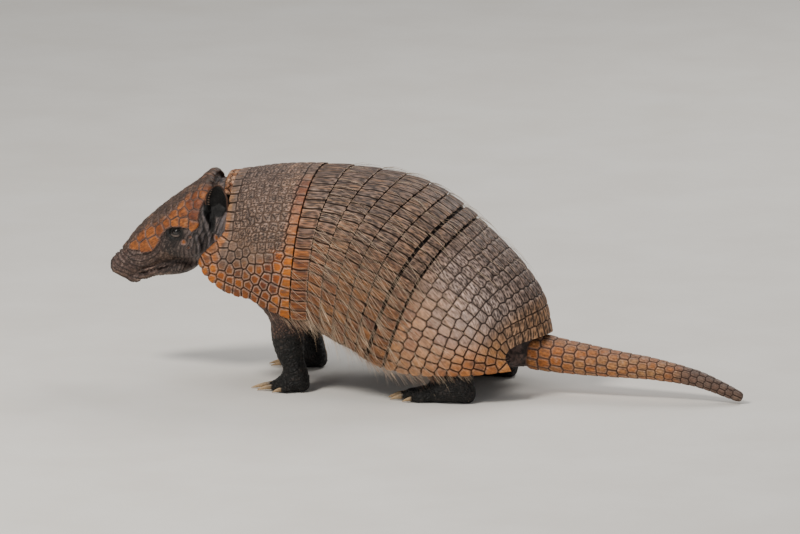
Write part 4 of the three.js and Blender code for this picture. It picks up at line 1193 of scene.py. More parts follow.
def skin_field():
    """The flesh as one body: trunk, neck, head, jaw, ear roots, tail root, legs, feet and toes."""
    field = Field([-310, -92, -2], [120, 92, 205])
    field.join(trunk(), 1.0)
    field.join(tail_root(), 6.0)
    field.join(lofted(NECK), 6.0)
    field.join(lofted(HEAD, 80, 56), 3.0)
    field.join(lofted(JAW), 4.5)
    for foot, leg_rows, pad, toes, middle in (
            ("fore", FORELEG, FOREFOOT, FORETOES, FOREFOOT_Y), ("hind", HINDLEG, HINDFOOT, HINDTOES, HINDFOOT_Y)):
        for side in (1.0, -1.0):
            shift = 0 if side > 0 else STANCE[foot]
            pieces = [limb(leg_rows, shift), foot_pad(pad, middle, shift)] + [toe(t, middle, shift) for t in toes]
            for k, (points, triangles) in enumerate(pieces):
                points = points * [1, side, 1]
                field.join((points, triangles if side > 0 else triangles[:, ::-1]), 4.0 if k < 2 else 1.2)
    for side in (1.0, -1.0):
        flip = np.array([1, side, 1])
        points, triangles = ear_collar()
        field.join((points * flip, triangles if side > 0 else triangles[:, ::-1]), 3.0)
        eye = EYE * flip
        box_low, box_high = eye - 26, eye + 26
        outward = unit(np.array([-0.25, -0.93 * side, 0.12]))
        field.add_shape(box_low, box_high, ellipsoid(eye + [4, 0, -15] * flip, (15, 7, 9)), 4.0)
        field.add_shape(box_low, box_high, ellipsoid(eye - 1.0 * outward, (9.4, 6.5, 8.0)), 3.0)
        field.add_shape(box_low, box_high, ellipsoid(eye + 5.2 * outward, (6.4, 5.6, 5.0)), -2.2)
        for path, thick in NECK_FOLDS:
            fold = np.array(path, float) * flip
            for point in fold:
                on_side = field.side_at(point[0], point[2], side)
                if on_side is not None and abs(on_side) < abs(point[1]) + 4:
                    point[1] = on_side - 0.9 * side
            field.add_shape([-225, -60, 100], [-170, 60, 185], tube_distance(fold, thick), 2.2)
        for path, radii in ((EAR_CLEFT, EAR_CLEFT_RADII), (EAR_HOLLOW, EAR_HOLLOW_RADII)):
            hollow = np.array(path) * flip
            field.add_shape([-225, -62, 125], [-165, 62, 195], tube_distance(hollow, radii), -1.2)
        for path in LID_FOLDS:
            fold = np.array(path) * flip
            field.add_shape(box_low, box_high, tube_distance(fold, 0.95), 1.3)
        mouth = np.array(MOUTH) * flip
        field.add_shape([-305, -40, 80], [-225, 40, 125], tube_distance(mouth, 0.45), -1.0)
        upper = mouth[2:-1] + [0, 0.5 * side, 2.6]
        field.add_shape([-305, -40, 80], [-225, 40, 125], tube_distance(upper, 0.8), 2.4)
        bulge = EYE * flip + [10.0, -1.5 * side, -11.0]
        field.add_shape(box_low, box_high, ellipsoid(bulge, (7.0, 4.5, 5.0)), 3.0)
    field.add_shape([-315, -20, 80], [-280, 20, 120], ellipsoid(NOSE + [0.6, 0, 0], (5.0, 8.0, 7.0)), 1.6)
    chin = [[-294.5, 0, 96.2], [-288, 0, 93.4], [-281, 0, 91.0]]
    field.add_shape([-305, -20, 80], [-270, 20, 110], tube_distance(chin, [4.6, 5.4, 5.6]), 3.0)
    for side in (-1, 1):
        hole = NOSE + [-4.6, 3.5 * side, 0.6]
        field.add_shape(hole - 8, hole + 8, ellipsoid(hole, (3.2, 1.7, 2.3)), -0.8)
        slit = [hole + [1.5, 1.6 * side, 0.8], hole + [3.6, 4.0 * side, 1.8]]
        field.add_shape(hole - 9, hole + 9, tube_distance(slit, 0.7), -0.8)
    floor_cells = stretch(np.array([0.0, 0.0, 0.0]))[2]
    z = np.arange(field.shape[2]) + field.low[2]
    field.values = np.maximum(field.values, (floor_cells + 0.02 - z).astype(np.float32)[None, None])
    return field


def vertex_normals(points, faces):
    spans = (1, 2) if faces.shape[1] == 3 else (2, 3)
    if faces.shape[1] == 3:
        face = np.cross(points[faces[:, 1]] - points[faces[:, 0]], points[faces[:, 2]] - points[faces[:, 0]])
    else:
        face = np.cross(points[faces[:, 2]] - points[faces[:, 0]], points[faces[:, 3]] - points[faces[:, 1]])
    total = np.zeros_like(points)
    for k in range(faces.shape[1]):
        for axis in range(3):
            total[:, axis] += np.bincount(faces[:, k], face[:, axis], len(points))
    return unit(total)


def eyeball(side, material):
    """A smooth, wet eye."""
    rows, columns = 25, 32
    v = np.linspace(0.03, np.pi - 0.03, rows)[:, None]
    t = turns(columns)
    ball = np.stack([np.sin(v) * np.cos(t), np.sin(v) * np.sin(t), np.cos(v) + 0 * t], -1) * EYE_RADIUS
    points, triangles = closed_tube(EYE * [1, side, 1] + ball)
    name = "eye_left" if side > 0 else "eye_right"
    return build(name, points, triangles, material, replaces=[name])


def lids(side):
    """The rolled edges of both lids round the opening of the eye: points and triangles."""
    out = unit(np.array([-0.2, -0.96, 0.1]))
    right = unit(np.cross(out, [0, 0, 1.0]))
    up = np.cross(right, out)
    t = turns(56)[0]
    wide, high = 4.3 * np.cos(t), (3.0 + 0.3 * np.cos(t)) * np.sin(t)
    depth = np.sqrt(np.maximum(EYE_RADIUS**2 - wide**2 - high**2, 0.4))
    middle = EYE + right * wide[:, None] + up * high[:, None] + out * (depth + 0.25)[:, None]
    away = unit(right * wide[:, None] + up * (high * 1.4)[:, None])
    turn = turns(12)[0][:, None, None]
    thick = 1.0 + 0.12 * np.sin(9 * t)[None, :, None]
    ring = middle + away * 0.5 + thick * (np.cos(turn) * away * 1.35 + np.sin(turn) * out * 0.85)
    rings = np.concatenate([ring, ring[:1]]).transpose(1, 0, 2)[:, :-1]
    rows, columns = rings.shape[:2]
    index = np.arange(rows * columns).reshape(rows, columns)
    n, m = np.roll(index, -1, 0), np.roll(index, -1, 1)
    quads = np.stack([index, m, np.roll(n, -1, 1), n], -1).reshape(-1, 4)
    points = rings.reshape(-1, 3)
    triangles = np.concatenate([quads[:, [0, 1, 2]], quads[:, [0, 2, 3]]])
    return points * [1, side, 1], triangles if side > 0 else triangles[:, ::-1]


def claws(kind, side, material):
    """The five claws of one foot: curved horn, ridged along the top, worn and pale at the tips."""
    toes, middle = (FORETOES, FOREFOOT_Y) if kind == "fore" else (HINDTOES, HINDFOOT_Y)
    shift = 0 if side > 0 else STANCE[kind]
    name = "left" if side > 0 else "right"
    all_points, all_faces, all_colours, offset = [], [], [], 0
    for k, (x0, y0, x1, y1, r, length) in enumerate(toes):
        heading = math.atan2(y1 - y0, x1 - x0)
        t = np.concatenate([np.linspace(-0.06, 0.92, 26), [0.95, 0.975, 0.992, 1.0]])[:, None]
        a = turns(20)
        body = np.clip(t, 0, 1)
        rr = 0.66 * r * (1 - 0.86 * body**1.3) * np.where(t > 0.96, np.sqrt(np.clip((1.003 - t) / 0.043, 0, 1)), 1)
        squeeze = 0.74 + 0.1 * np.cos(2 * a)
        ridge = 1 + 0.1 * np.maximum(0, np.cos(a)) ** 6 - 0.1 * np.maximum(0, -np.cos(a)) ** 2
        grain = 1 + 0.03 * np.sin(5 * a + k) + 0.025 * np.sin(26 * t + 3 * k)
        s = 0.3 + length * t
        z = r * 0.95 + (0.7 - r * 0.95) * t + 0.6 * r * body * (1 - body) + rr * ridge * grain * np.cos(a)
        rings = np.stack([
            x1 + s * math.cos(heading) - math.sin(heading) * rr * squeeze * np.sin(a) + shift,
            middle + y1 + s * math.sin(heading) + math.cos(heading) * rr * squeeze * np.sin(a), z + 0 * a], -1)
        points, triangles = closed_tube(rings)
        down = np.concatenate([(body + 0 * a).ravel(), [0, 1]])
        top = np.concatenate([(np.cos(a) + 0 * t).ravel(), [0, 0]])
        colour = mix(HORN * 0.42, HORN, smooth(down / 0.75) * (0.75 + 0.25 * top))
        colour = mix(colour, BLACK_SKIN * 1.5, 0.8 * ramp(down, 0.12, 0.0))
        all_points.append(points * [1, side, 1])
        all_faces.append((triangles if side > 0 else triangles[:, ::-1]) + offset)
        all_colours.append(colour)
        offset += len(points)
    return build(f"{kind}claws_{name}", np.concatenate(all_points), np.concatenate(all_faces), material,
                 np.concatenate(all_colours), replaces=[f"{kind}claw_{k}_{name}" for k in range(1, 6)])


def crease(phase):
    """0 in the bottom of each fold line, 1 on the ridge between two."""
    return smooth(np.abs(np.sin(np.pi * phase)) / 0.62)


CHEEK_SCUTES = [[-223.8, 131.0, 2.9], [-217.0, 136.5, 1.5], [-219.0, 126.0, 1.3]]
SHOULDER_SCUTE = [-192.0, 137.5, 3.4]
SNOUT_FOLDS = [-271.6, 136.0]  # x and z of the middle of the arcs in which the snout's skin folds


def wrinkle(p, normal):
    """How far the skin stands out at each point, in mm, and its shade from 0 in a fold to 1 on a ridge."""
    x, z = p[:, 0], p[:, 2]
    side = np.abs(p[:, 1])
    rough = noise(p, 9, 41)
    round_snout = np.hypot(x - SNOUT_FOLDS[0], z - SNOUT_FOLDS[1]) + 1.5 * rough + 0.7 * noise(p, 3.5, 42)
    snout = ramp(x, -236, -262) * ramp(x, -303, -297)
    coarse, fine = crease(round_snout / 4.6), crease(round_snout / 2.3 + 0.4 * rough)
    lift = snout * (1.5 * (coarse - 1) + 0.4 * (fine - 1))
    shade = 1 - snout * (1 - (0.05 + 0.95 * coarse) * (0.5 + 0.5 * fine))
    cheek = ramp(x, -246, -232) * ramp(x, -180, -190) * ramp(z, 170, 150)
    upright = crease((0.95 * x - 0.3 * z + 2.2 * rough + 0.8 * noise(p, 4, 43)) / 3.5)
    lift = lift + cheek * ramp(side, 20, 30) * 0.9 * (upright - 1)
    shade = shade * (1 - cheek * 0.85 * (1 - upright))
    nape = ramp(x, -214, -206) * ramp(z, 164, 170) * ramp(side, 46, 38)
    first, second, _ = cellular(p, 5.0, 45)
    lift = lift + nape * 1.3 * ramp(second - first, 0.0, 0.5)
    shade = shade * (1 - 0.6 * nape * ramp(second - first, 0.3, 0.05))
    first, second, _ = cellular(p, 3.0, 44)
    pebble = ramp(second - first, 0.0, 0.35)
    grain = ramp(x, -225, -240) + ramp(z, 96, 84) * ramp(x, -160, -150)
    grain = np.clip(grain, 0, 1)
    lift = lift + grain * 0.3 * (pebble - 1) * ramp(z, 0.4, 2.5)
    shade = shade * (1 - grain * 0.55 * (1 - pebble))
    limb = ramp(z, 92, 84) * ramp(x, -165, -158)
    rings = crease((z + 1.6 * rough + 0.5 * x * 0.2) / 5.0)
    lift = lift + limb * 0.45 * (rings - 1) * ramp(z, 1, 5)
    shade = shade * (1 - limb * 0.4 * (1 - rings))
    root = ramp(x, 88, 96)
    hoops = crease((x + 0.8 * rough) / 3.4)
    lift = lift + root * 0.6 * (hoops - 1)
    shade = shade * (1 - root * 0.5 * (1 - hoops))
    lift = lift + 0.22 * fractal(p, 5, 3, 46) * ramp(z, 0.4, 2.5)
    return lift, shade


def skin_tint(p, normal, shade):
    """The skin's colours: near-black face and legs, grey neck, browner belly; painted shade in its folds, on the legs,
    round the eye and in the ear's cleft and opening, and a painted highlight on the ridges of its folds.
    """
    x, z = p[:, 0], p[:, 2]
    side = np.abs(p[:, 1])
    wide, fine = fractal(p, 16, 3, 51), fractal(p, 3.4, 3, 52)
    colour = mix(SNOUT * 1.6, SNOUT * 2.8, np.clip(0.5 + 0.8 * wide, 0, 1))
    colour = mix(colour, BLACK_SKIN * 0.9, ramp(x, -262, -240) * ramp(x, -214, -226) * (0.8 + 0.2 * wide))
    colour = mix(colour, NECK_SKIN * 1.15, ramp(x, -226, -212) * ramp(x, -178, -186))
    colour = mix(colour, DUST * 0.55, 0.7 * ramp(z, 166, 174) * ramp(x, -210, -204) * ramp(fine, -0.3, 0.5))
    colour = mix(colour, BELLY * 0.7, ramp(x, -178, -160))
    # The legs are near-black skin, painted darker still as shade.
    leg = ramp(z, 62 + 8 * wide, 48 + 8 * wide) * ramp(x, -165, -158)
    leg = leg * np.maximum(ramp(side, 34, 40), ramp(z, 26, 16))
    colour = mix(colour, BLACK_SKIN * 0.3, leg)
    colour = mix(colour, mix(BLACK_SKIN, LILAC * 0.45, shade), ramp(x, 78, 90))
    # Paler on the ridges of the folds of face and neck: dust on the crests and a painted highlight.
    colour = mix(colour, PALE_SKIN, (0.45 + 0.45 * ramp(x, -250, -262)) * ramp(shade + 0.25 * fine, 0.75, 1.15) * ramp(x, -170, -190))
    colour = mix(colour, PALE_SKIN * 0.7, 0.16 * ramp(shade + 0.3 * fine, 0.8, 1.2) * leg)
    # Dust colour on the upward faces of the snout: dust, with a painted highlight where the faces turn up toward the
    # light.
    dusty = ramp(normal[:, 2] + 0.5 * fine, 0.2, 1.0)
    colour = mix(colour, DUST * 0.75, 0.35 * dusty * ramp(x, -225, -250))
    colour = mix(colour, BLACK_SKIN * 0.4, 0.95 * (1 - shade))
    colour = mix(colour, BLACK_SKIN * 0.8, ramp(x, -299, -302.5))
    # Near-black round the eye, in its socket under the shield's edge: painted shade.
    socket = np.linalg.norm((p - EYE * np.stack([0 * x + 1, -np.sign(p[:, 1]), 0 * x + 1], -1)) / [11.5, 12, 8.6], axis=1)
    colour = mix(colour, BLACK_SKIN * 0.35, 0.95 * ramp(socket, 1.2, 0.85))
    flat = np.stack([x, z], -1)
    hollow = np.minimum.reduce([tube_distance(path, radii)(flat) for path, radii in EAR_SHADE])
    fold = np.minimum.reduce([
        tube_distance(np.array(path)[:, [0, 2]], thick)(flat) for path, thick in NECK_FOLDS])
    # Lighter along the ridges of the neck folds and near-black beside them: a painted highlight and painted shade in
    # the creases.
    colour = mix(colour, NECK_SKIN * 2.0, 0.6 * ramp(fold, -0.4, -1.6) * ramp(side, 26, 30))
    colour = mix(colour, BLACK_SKIN * 0.5, 0.75 * ramp(fold, 2.8, 1.2) * ramp(fold, -0.6, 0.4) * ramp(side, 26, 30))
    # Black in the ear's cleft and opening: painted shade.
    return mix(colour, BLACK_SKIN * 0.08, ramp(hollow, 1.0, 0.0) * ramp(side, 20, 24))


def raised_scutes(p, lift, colour):
    """The few small scutes that lie loose in the skin of the cheek and beside the shoulder."""
    for x, z, radius in [*CHEEK_SCUTES, SHOULDER_SCUTE]:
        d = np.hypot(p[:, 0] - x, p[:, 2] - z) + 50 * (np.abs(p[:, 1]) < 20)
        on = ramp(d, radius + 0.5, radius - 0.4)
        lift = lift * (1 - on) + on * (0.9 + 0.25 * np.cos(np.minimum(d / radius, 1) * np.pi))
        colour = mix(colour, mix(LILAC * 0.8, ORANGE * 0.4 * radius**0.5, ramp(d, 0.75 * radius, 0.45 * radius)), on)
        colour = mix(colour, BLACK_SKIN, 0.8 * ramp(d, radius + 1.6, radius + 0.6) * (1 - on))
    return lift, colour


def tuck_in(points):
    """Moves the points of the flesh that would show through the shell to just under it."""
    u, a = np.meshgrid(np.linspace(0.2, 12.9, 128), np.linspace(-0.99, 0.99, 120), indexing="ij")
    surface, normal = shell_point(u, a).reshape(-1, 3), shell_frame(u, a)[2].reshape(-1, 3)
    tree = kdtree.KDTree(len(surface))
    for k, place in enumerate(surface):
        tree.insert(place, k)
    tree.balance()
    chosen = np.flatnonzero((points[:, 0] > -150) & (points[:, 0] < 115) & (points[:, 2] > 20))
    nearest = np.array([tree.find(p)[1] for p in points[chosen]])
    out = normal[nearest]
    over = ((points[chosen] - surface[nearest]) * out).sum(1) + 4.6
    aside = np.linalg.norm(points[chosen] - surface[nearest] - out * (over - 4.6)[:, None], axis=1)
    move = np.where(aside < 4, np.maximum(over, 0), 0)
    points[chosen] -= out * move[:, None]
    return points


def skin_piece(material):
    """The whole skin, with its ears and lids, wrinkled and painted."""
    points, quads = skin_field().mesh()
    normal = vertex_normals(points, quads)
    lift, shade = wrinkle(points, normal)
    colour = skin_tint(points, normal, shade)
    lift, colour = raised_scutes(points, lift, colour)
    points = tuck_in(points + normal * lift[:, None])
    points[:, 2] = np.maximum(points[:, 2], 0.02)
    pieces = [(points, np.concatenate([quads[:, [0, 1, 2]], quads[:, [0, 2, 3]]]))]
    colours = [colour]
    scaly = [ramp(points[:, 0], -165, -155) * ramp(points[:, 2], 80, 60) * ramp(np.abs(points[:, 1]), 30, 36)]
    for side in (1.0, -1.0):
        flap, triangles, edge, inside, comb = ear_flap()
        pieces.append((flap * [1, side, 1], triangles if side > 0 else triangles[:, ::-1]))
        # The ear's inner face is near-black: painted shade in its cup.
        tone = mix(BLACK_SKIN * 0.14, NECK_SKIN * 0.8, (1 - inside) * 0.6)
        tone = mix(tone, EAR_RIM, ramp(edge, 1.3, 0.5))
        tone = mix(tone, EDGE * 0.7, 0.9 * ramp(comb, 0.1, 0.5))
        colours.append(tone)
        scaly.append(np.zeros(len(flap)))
        lid, triangles = lids(side)
        pieces.append((lid, triangles))
        # The lids are near-black above, as painted shade under the shield's edge, and paler along the lower lid.
        away = np.linalg.norm(lid * [1, side, 1] - EYE, axis=1)
        below = ramp(lid[:, 2], EYE[2] - 1.0, EYE[2] - 3.0)
        colours.append(mix(BLACK_SKIN * 0.3, PALE_SKIN * 0.65, 0.85 * below * ramp(away, 5.1, 5.9)))
        scaly.append(np.zeros(len(lid)))
    offset, faces = 0, []
    for p, t in pieces:
        faces.append(t + offset)
        offset += len(p)
    flesh = ("head", "nose", "lower_jaw", "neck", "trunk", "ear_left", "ear_right")
    limbs = [f"{end}{part}_{side}" for end in ("fore", "hind") for part in ("leg", "foot") for side in ("left", "right")]
    build("skin", np.concatenate([p for p, _ in pieces]), np.concatenate(faces), material,
          np.concatenate(colours), {"scaly": np.concatenate(scaly)}, replaces=[*flesh, *limbs])
    return points, normal


# ---- hair ----
def strands(name, paths, radius, colours, roots, material):
    """Solid hairs, each a three-sided taper along its path; roots are their places on the skin's unwrap."""
    count, steps = paths.shape[:2]
    tangent = unit(np.gradient(paths, axis=1))
    across = unit(np.cross(tangent, [0.31, 0.52, 0.8]))
    over = np.cross(tangent, across)
    taper = radius[:, None] * (1 - 0.75 * np.arange(steps - 1) / (steps - 1))
    rings = []
    for k in range(3):
        t = 2 * math.pi * k / 3
        rings.append(paths[:, :-1] + (across[:, :-1] * math.cos(t) + over[:, :-1] * math.sin(t)) * taper[..., None])
    body = np.stack(rings, 2).reshape(count, -1, 3)
    points = np.concatenate([body, paths[:, -1:]], 1)
    per = points.shape[1]
    quads, quad_uv, tips, tip_uv = [], [], [], []
    size = 0.003
    level = size * np.arange(steps) / (steps - 1)
    for j in range(steps - 2):
        for k in range(3):
            m = (k + 1) % 3
            quads.append([3 * j + k, 3 * j + m, 3 * j + 3 + m, 3 * j + 3 + k])
            x0, x1 = size * k / 3, size * (k + 1) / 3
            quad_uv.append([[x0, level[j]], [x1, level[j]], [x1, level[j + 1]], [x0, level[j + 1]]])
    for k in range(3):
        m = (k + 1) % 3
        tips.append([3 * (steps - 2) + k, 3 * (steps - 2) + m, per - 1])
        x0, x1 = size * k / 3, size * (k + 1) / 3
        tip_uv.append([[x0, level[-2]], [x1, level[-2]], [(x0 + x1) / 2, level[-1]]])
    base = (np.arange(count) * per)[:, None, None]
    faces = [(np.array(quads)[None] + base).reshape(-1, 4), (np.array(tips)[None] + base).reshape(-1, 3)]
    corner = (0.01 + 0.975 * np.clip(roots, 0, 1))[:, None, None]
    uv = np.concatenate([(np.array(quad_uv)[None] + corner).reshape(-1, 2), (np.array(tip_uv)[None] + corner).reshape(-1, 2)])
    down = np.concatenate([np.repeat(np.arange(steps - 1), 3), [steps - 1]]) / (steps - 1)
    shade = colours[:, None] * (0.6 + 0.5 * smooth(down * 2.5))[None, :, None]
    return build(name, points.reshape(-1, 3), faces, material, shade.reshape(-1, 3), uv=uv)


def shell_hairs(material):
    """Long sparse hairs that grow from behind each band's scutes and lie back and down over the next."""
    u, a, long = [], [], []
    for k in range(0, BANDS + 4):
        station = k + 1.96 if k <= BANDS else 9.26 + 0.395 * (k - BANDS) + 0.16
        per_scute = 10 if 0 < k <= BANDS else 6
        row = arc_row(min(station, 12.5), 9.9)
        for j in range(per_scute):
            pick = hash01(np.stack([np.arange(len(row)), row * 0 + k, row * 0 + j], -1), 70)
            other = hash01(np.stack([np.arange(len(row)), row * 0 + k, row * 0 + j], -1), 71)
            spot = row + (other - 0.5) * 0.11
            dense = 0.2 + 0.85 * ramp(np.abs(spot), 0.3, 0.72)
            if k == 0:
                dense = 0.35 * ramp(np.abs(spot), 0.5, 0.8)
            if k > BANDS:
                dense = dense * (0.75 - 0.2 * (k - BANDS))
            keep = (pick < dense) & (np.abs(spot) < 0.985)
            u += [station] * keep.sum()
            a += list(spot[keep])
            long += list(20 + 16 * hash01(np.stack([np.arange(keep.sum()), np.full(keep.sum(), k + 50 * j)] * 2, -1)[:, :3], 72))
    return grow_hairs("shell_hair", np.array(u), np.array(a), np.array(long), material)


def grow_hairs(name, u, a, length, material, sub_steps=3, steps=6):
    """Hairs rooted at stations u and values a: they follow the shell, then hang free past its rim."""
    number = np.stack([np.arange(len(u))] * 3, -1)
    spread = hash01(number, 80) - 0.5
    curve = hash01(number, 81) - 0.5
    raised = hash01(number, 82)
    sign = np.where(a >= 0, 1.0, -1.0)
    root = np.stack([u / 13.2, (a + 1) / 2], -1)
    low = np.abs(a)
    heading = 0.04 + 0.2 * ramp(low, 0.1, 0.6) + 0.36 * ramp(low, 0.65, 0.9) + 0.5 * spread
    total = sub_steps * (steps - 1)
    step = length / total
    du, da, normal = shell_frame(u, a)
    place = shell_point(u, a) + normal * 0.4
    v = unit(du)
    path = [place]
    hair_u, hair_a = u.copy(), a.copy()
    for k in range(1, total + 1):
        t = k / total
        du, da, normal = shell_frame(hair_u, hair_a)
        turn = heading + (0.35 * curve + 0.12) * t
        on = (np.abs(hair_a) < 0.985) & (hair_u < 12.8)
        size_u, size_a = np.linalg.norm(du, axis=1), np.linalg.norm(da, axis=1)
        next_u = hair_u + step * np.cos(turn) / size_u
        next_a = hair_a + sign * step * np.sin(turn) / size_a
        hair_u, hair_a = np.where(on, next_u, hair_u), np.where(on, np.clip(next_a, -1, 1), hair_a)
        lift = 1.7 + (0.8 + 2.2 * raised) * np.sin(np.pi * min(1, 0.15 + 0.85 * t)) * (0.5 + t)
        lift = 0.4 + (lift - 0.4) * min(1.0, 4 * t)
        bound = shell_point(hair_u, hair_a) + normal * lift[:, None]
        free_v = unit(v + np.array([0.0, 0, -0.10]))
        moved = np.where(on[:, None], bound, place + free_v * step[:, None])
        v = unit(moved - place)
        place = moved
        path.append(place)
    paths = np.stack(path, 1)[:, ::sub_steps]
    tone = hash01(number, 83)[:, None]
    colours = mix(DARK_HAIR * 0.7, HAIR * 1.35, tone[:, 0] ** 1.2)
    radius = 0.12 + 0.09 * hash01(number, 84)
    return strands(name, paths, radius, colours, root, material)


def fringe_hairs(material):
    """The fringe that hangs from under the bands' rims."""
    count = 1400
    number = np.stack([np.arange(count)] * 3, -1)
    h = [hash01(number, 90 + k) for k in range(8)]
    u = 1.2 + 10.6 * h[0] ** 1.15
    sign = np.where(h[1] > 0.5, 1.0, -1.0)
    inset = 0.006 + 0.05 * h[2]
    start = shell_point(u, sign * (1 - inset)) - shell_frame(u, sign * (1 - inset))[2] * 5.5
    length = (12 + 18 * h[3]) * (1 - 0.5 * ramp(u, 8.5, 11.5))
    v = unit(np.stack([0.55 + 0.5 * h[4], sign * (0.12 + 0.25 * h[5]), -(0.55 + 0.5 * h[6])], -1))
    steps = 6
    place, path = start, [start]
    for _ in range(steps - 1):
        v = unit(v + np.array([0.05, 0, -0.09]) + 0.05 * (np.stack([h[7], h[2], h[5]], -1) - 0.5))
        place = place + v * (length / (steps - 1))[:, None]
        place = np.where(place[:, 2:] < 1.2, np.concatenate([place[:, :2], 1.2 + 0 * place[:, 2:]], 1), place)
        path.append(place)
    colours = mix(DARK_HAIR * 1.6, HAIR * 1.05, h[7])
    root = np.stack([u / 13.2, 0.5 + 0.48 * sign * (1 - inset)], -1)
    return strands("fringe_hair", np.stack(path, 1), 0.13 + 0.09 * h[4], colours, root, material)


def skin_hairs(points, normal, material):
    """Thin hair of the belly, short hair of the legs, and bristles on cheek and chin."""
    x, y, z = points.T
    number = np.stack([np.arange(len(points))] * 3, -1)
    h = [hash01(number, 100 + k) for k in range(5)]
    low = normal[:, 2] < 0.2
    belly = (x > -150) & (x < 84) & (normal[:, 2] < -0.25) & (z < 100)
    leg = (x > -165) & (z < 78) & (z > 9) & (np.abs(y) > 36) & ~belly
    face = (x < -212) & (x > -292) & (z < 128) & low
    chosen = (belly & (h[0] < 0.05)) | (leg & (h[0] < 0.07)) | (face & (h[0] < 0.022))
    p, n = points[chosen], normal[chosen]
    h = [k[chosen] for k in h]
    length = np.where(belly[chosen], 10 + 12 * h[1], np.where(leg[chosen], 5 + 6 * h[1], 3 + 4 * h[1]))
    lie = np.array([0.55, 0, -0.8]) + 0.5 * (np.stack([h[2], h[3], h[4]], -1) - 0.5)
    lie = unit(lie - n * (lie * n).sum(1, keepdims=True))
    path = []
    for t in np.linspace(0, 1, 5):
        path.append(p + (n * (0.5 * t - 0.3 * t * t) + lie * (0.85 * t)) * length[:, None])
    paths = np.stack(path, 1)
    paths[..., 2] = np.maximum(paths[..., 2], 0.6)
    middle = np.where(x[chosen] < -180, 140, 90)
    root = np.stack([(p[:, 0] + 310) / 430, 0.5 + np.arctan2(p[:, 1], p[:, 2] - middle) / (2 * np.pi)], -1)
    tone = np.where(face[chosen], 0.5, 0.85) * (0.6 + 0.5 * h[2])
    return strands("skin_hair", paths, 0.1 + 0.05 * h[4], HAIR * tone[:, None], root, material)


# ---- materials ----
def shader(name, roughness, **sockets):
    """A material with its Principled shader; sockets sets constant values by socket name."""
    material = bpy.data.materials.new(name)
    material.use_nodes = True
    tree = material.node_tree
    principled = tree.nodes["Principled BSDF"]
    principled.inputs["Roughness"].default_value = roughness
    for key, value in sockets.items():
        principled.inputs[key.replace("_", " ")].default_value = value
    return material, tree, principled


def add_node(tree, kind, **settings):
    """A node with its attributes and, where a setting's name is a socket's, its default value."""
    node = tree.nodes.new(kind)
    for key, value in settings.items():
        if hasattr(node, key):
            setattr(node, key, value)
        else:
            node.inputs[key.replace("_", " ")].default_value = value
    return node


def noise_node(tree, vector, scale, detail=4.0, roughness=0.55):
    node = add_node(tree, "ShaderNodeTexNoise", Scale=scale, Detail=detail, Roughness=roughness)
    tree.links.new(vector, node.inputs["Vector"])
    return node.outputs["Fac"]


def cell_node(tree, vector, scale, feature="DISTANCE_TO_EDGE", dimensions="3D"):
    node = add_node(tree, "ShaderNodeTexVoronoi", feature=feature, voronoi_dimensions=dimensions, Scale=scale)
    tree.links.new(vector, node.inputs["Vector"])
    return node.outputs["Distance"]


def levels(tree, value, low, high, to_low=0.0, to_high=1.0):
    node = add_node(tree, "ShaderNodeMapRange", clamp=True)
    tree.links.new(value, node.inputs["Value"])
    for key, number in (("From Min", low), ("From Max", high), ("To Min", to_low), ("To Max", to_high)):
        node.inputs[key].default_value = number
    return node.outputs["Result"]


def maths(tree, operation, a, b):
    node = add_node(tree, "ShaderNodeMath", operation=operation)
    for socket, value in zip(node.inputs, (a, b)):
        if isinstance(value, (int, float)):
            socket.default_value = value
        else:
            tree.links.new(value, socket)
    return node.outputs["Value"]


def blend_colour(tree, kind, factor, a, b):
    node = add_node(tree, "ShaderNodeMix", data_type="RGBA", blend_type=kind)
    sockets = {s.identifier: s for s in node.inputs}
    for key, value in (("Factor_Float", factor), ("A_Color", a), ("B_Color", b)):
        if isinstance(value, (int, float)):
            sockets[key].default_value = value
        elif isinstance(value, (tuple, list, np.ndarray)):
            sockets[key].default_value = (*value, 1)
        else:
            tree.links.new(value, sockets[key])
    return {s.identifier: s for s in node.outputs}["Result_Color"]


def bumps(tree, principled, *layers):
    """Chains bump layers, each (height, distance in mm, strength), into the shader's normal."""
    last = None
    for height, distance, strength in layers:
        bump = add_node(tree, "ShaderNodeBump", Strength=strength, Distance=distance * MM)
        tree.links.new(height, bump.inputs["Height"])
        if last is not None:
            tree.links.new(last, bump.inputs["Normal"])
        last = bump.outputs["Normal"]
    tree.links.new(last, principled.inputs["Normal"])


def tinted(tree, name="tint"):
    return add_node(tree, "ShaderNodeAttribute", attribute_name=name).outputs["Color"]


def object_space(tree):
    return add_node(tree, "ShaderNodeTexCoord").outputs["Object"]


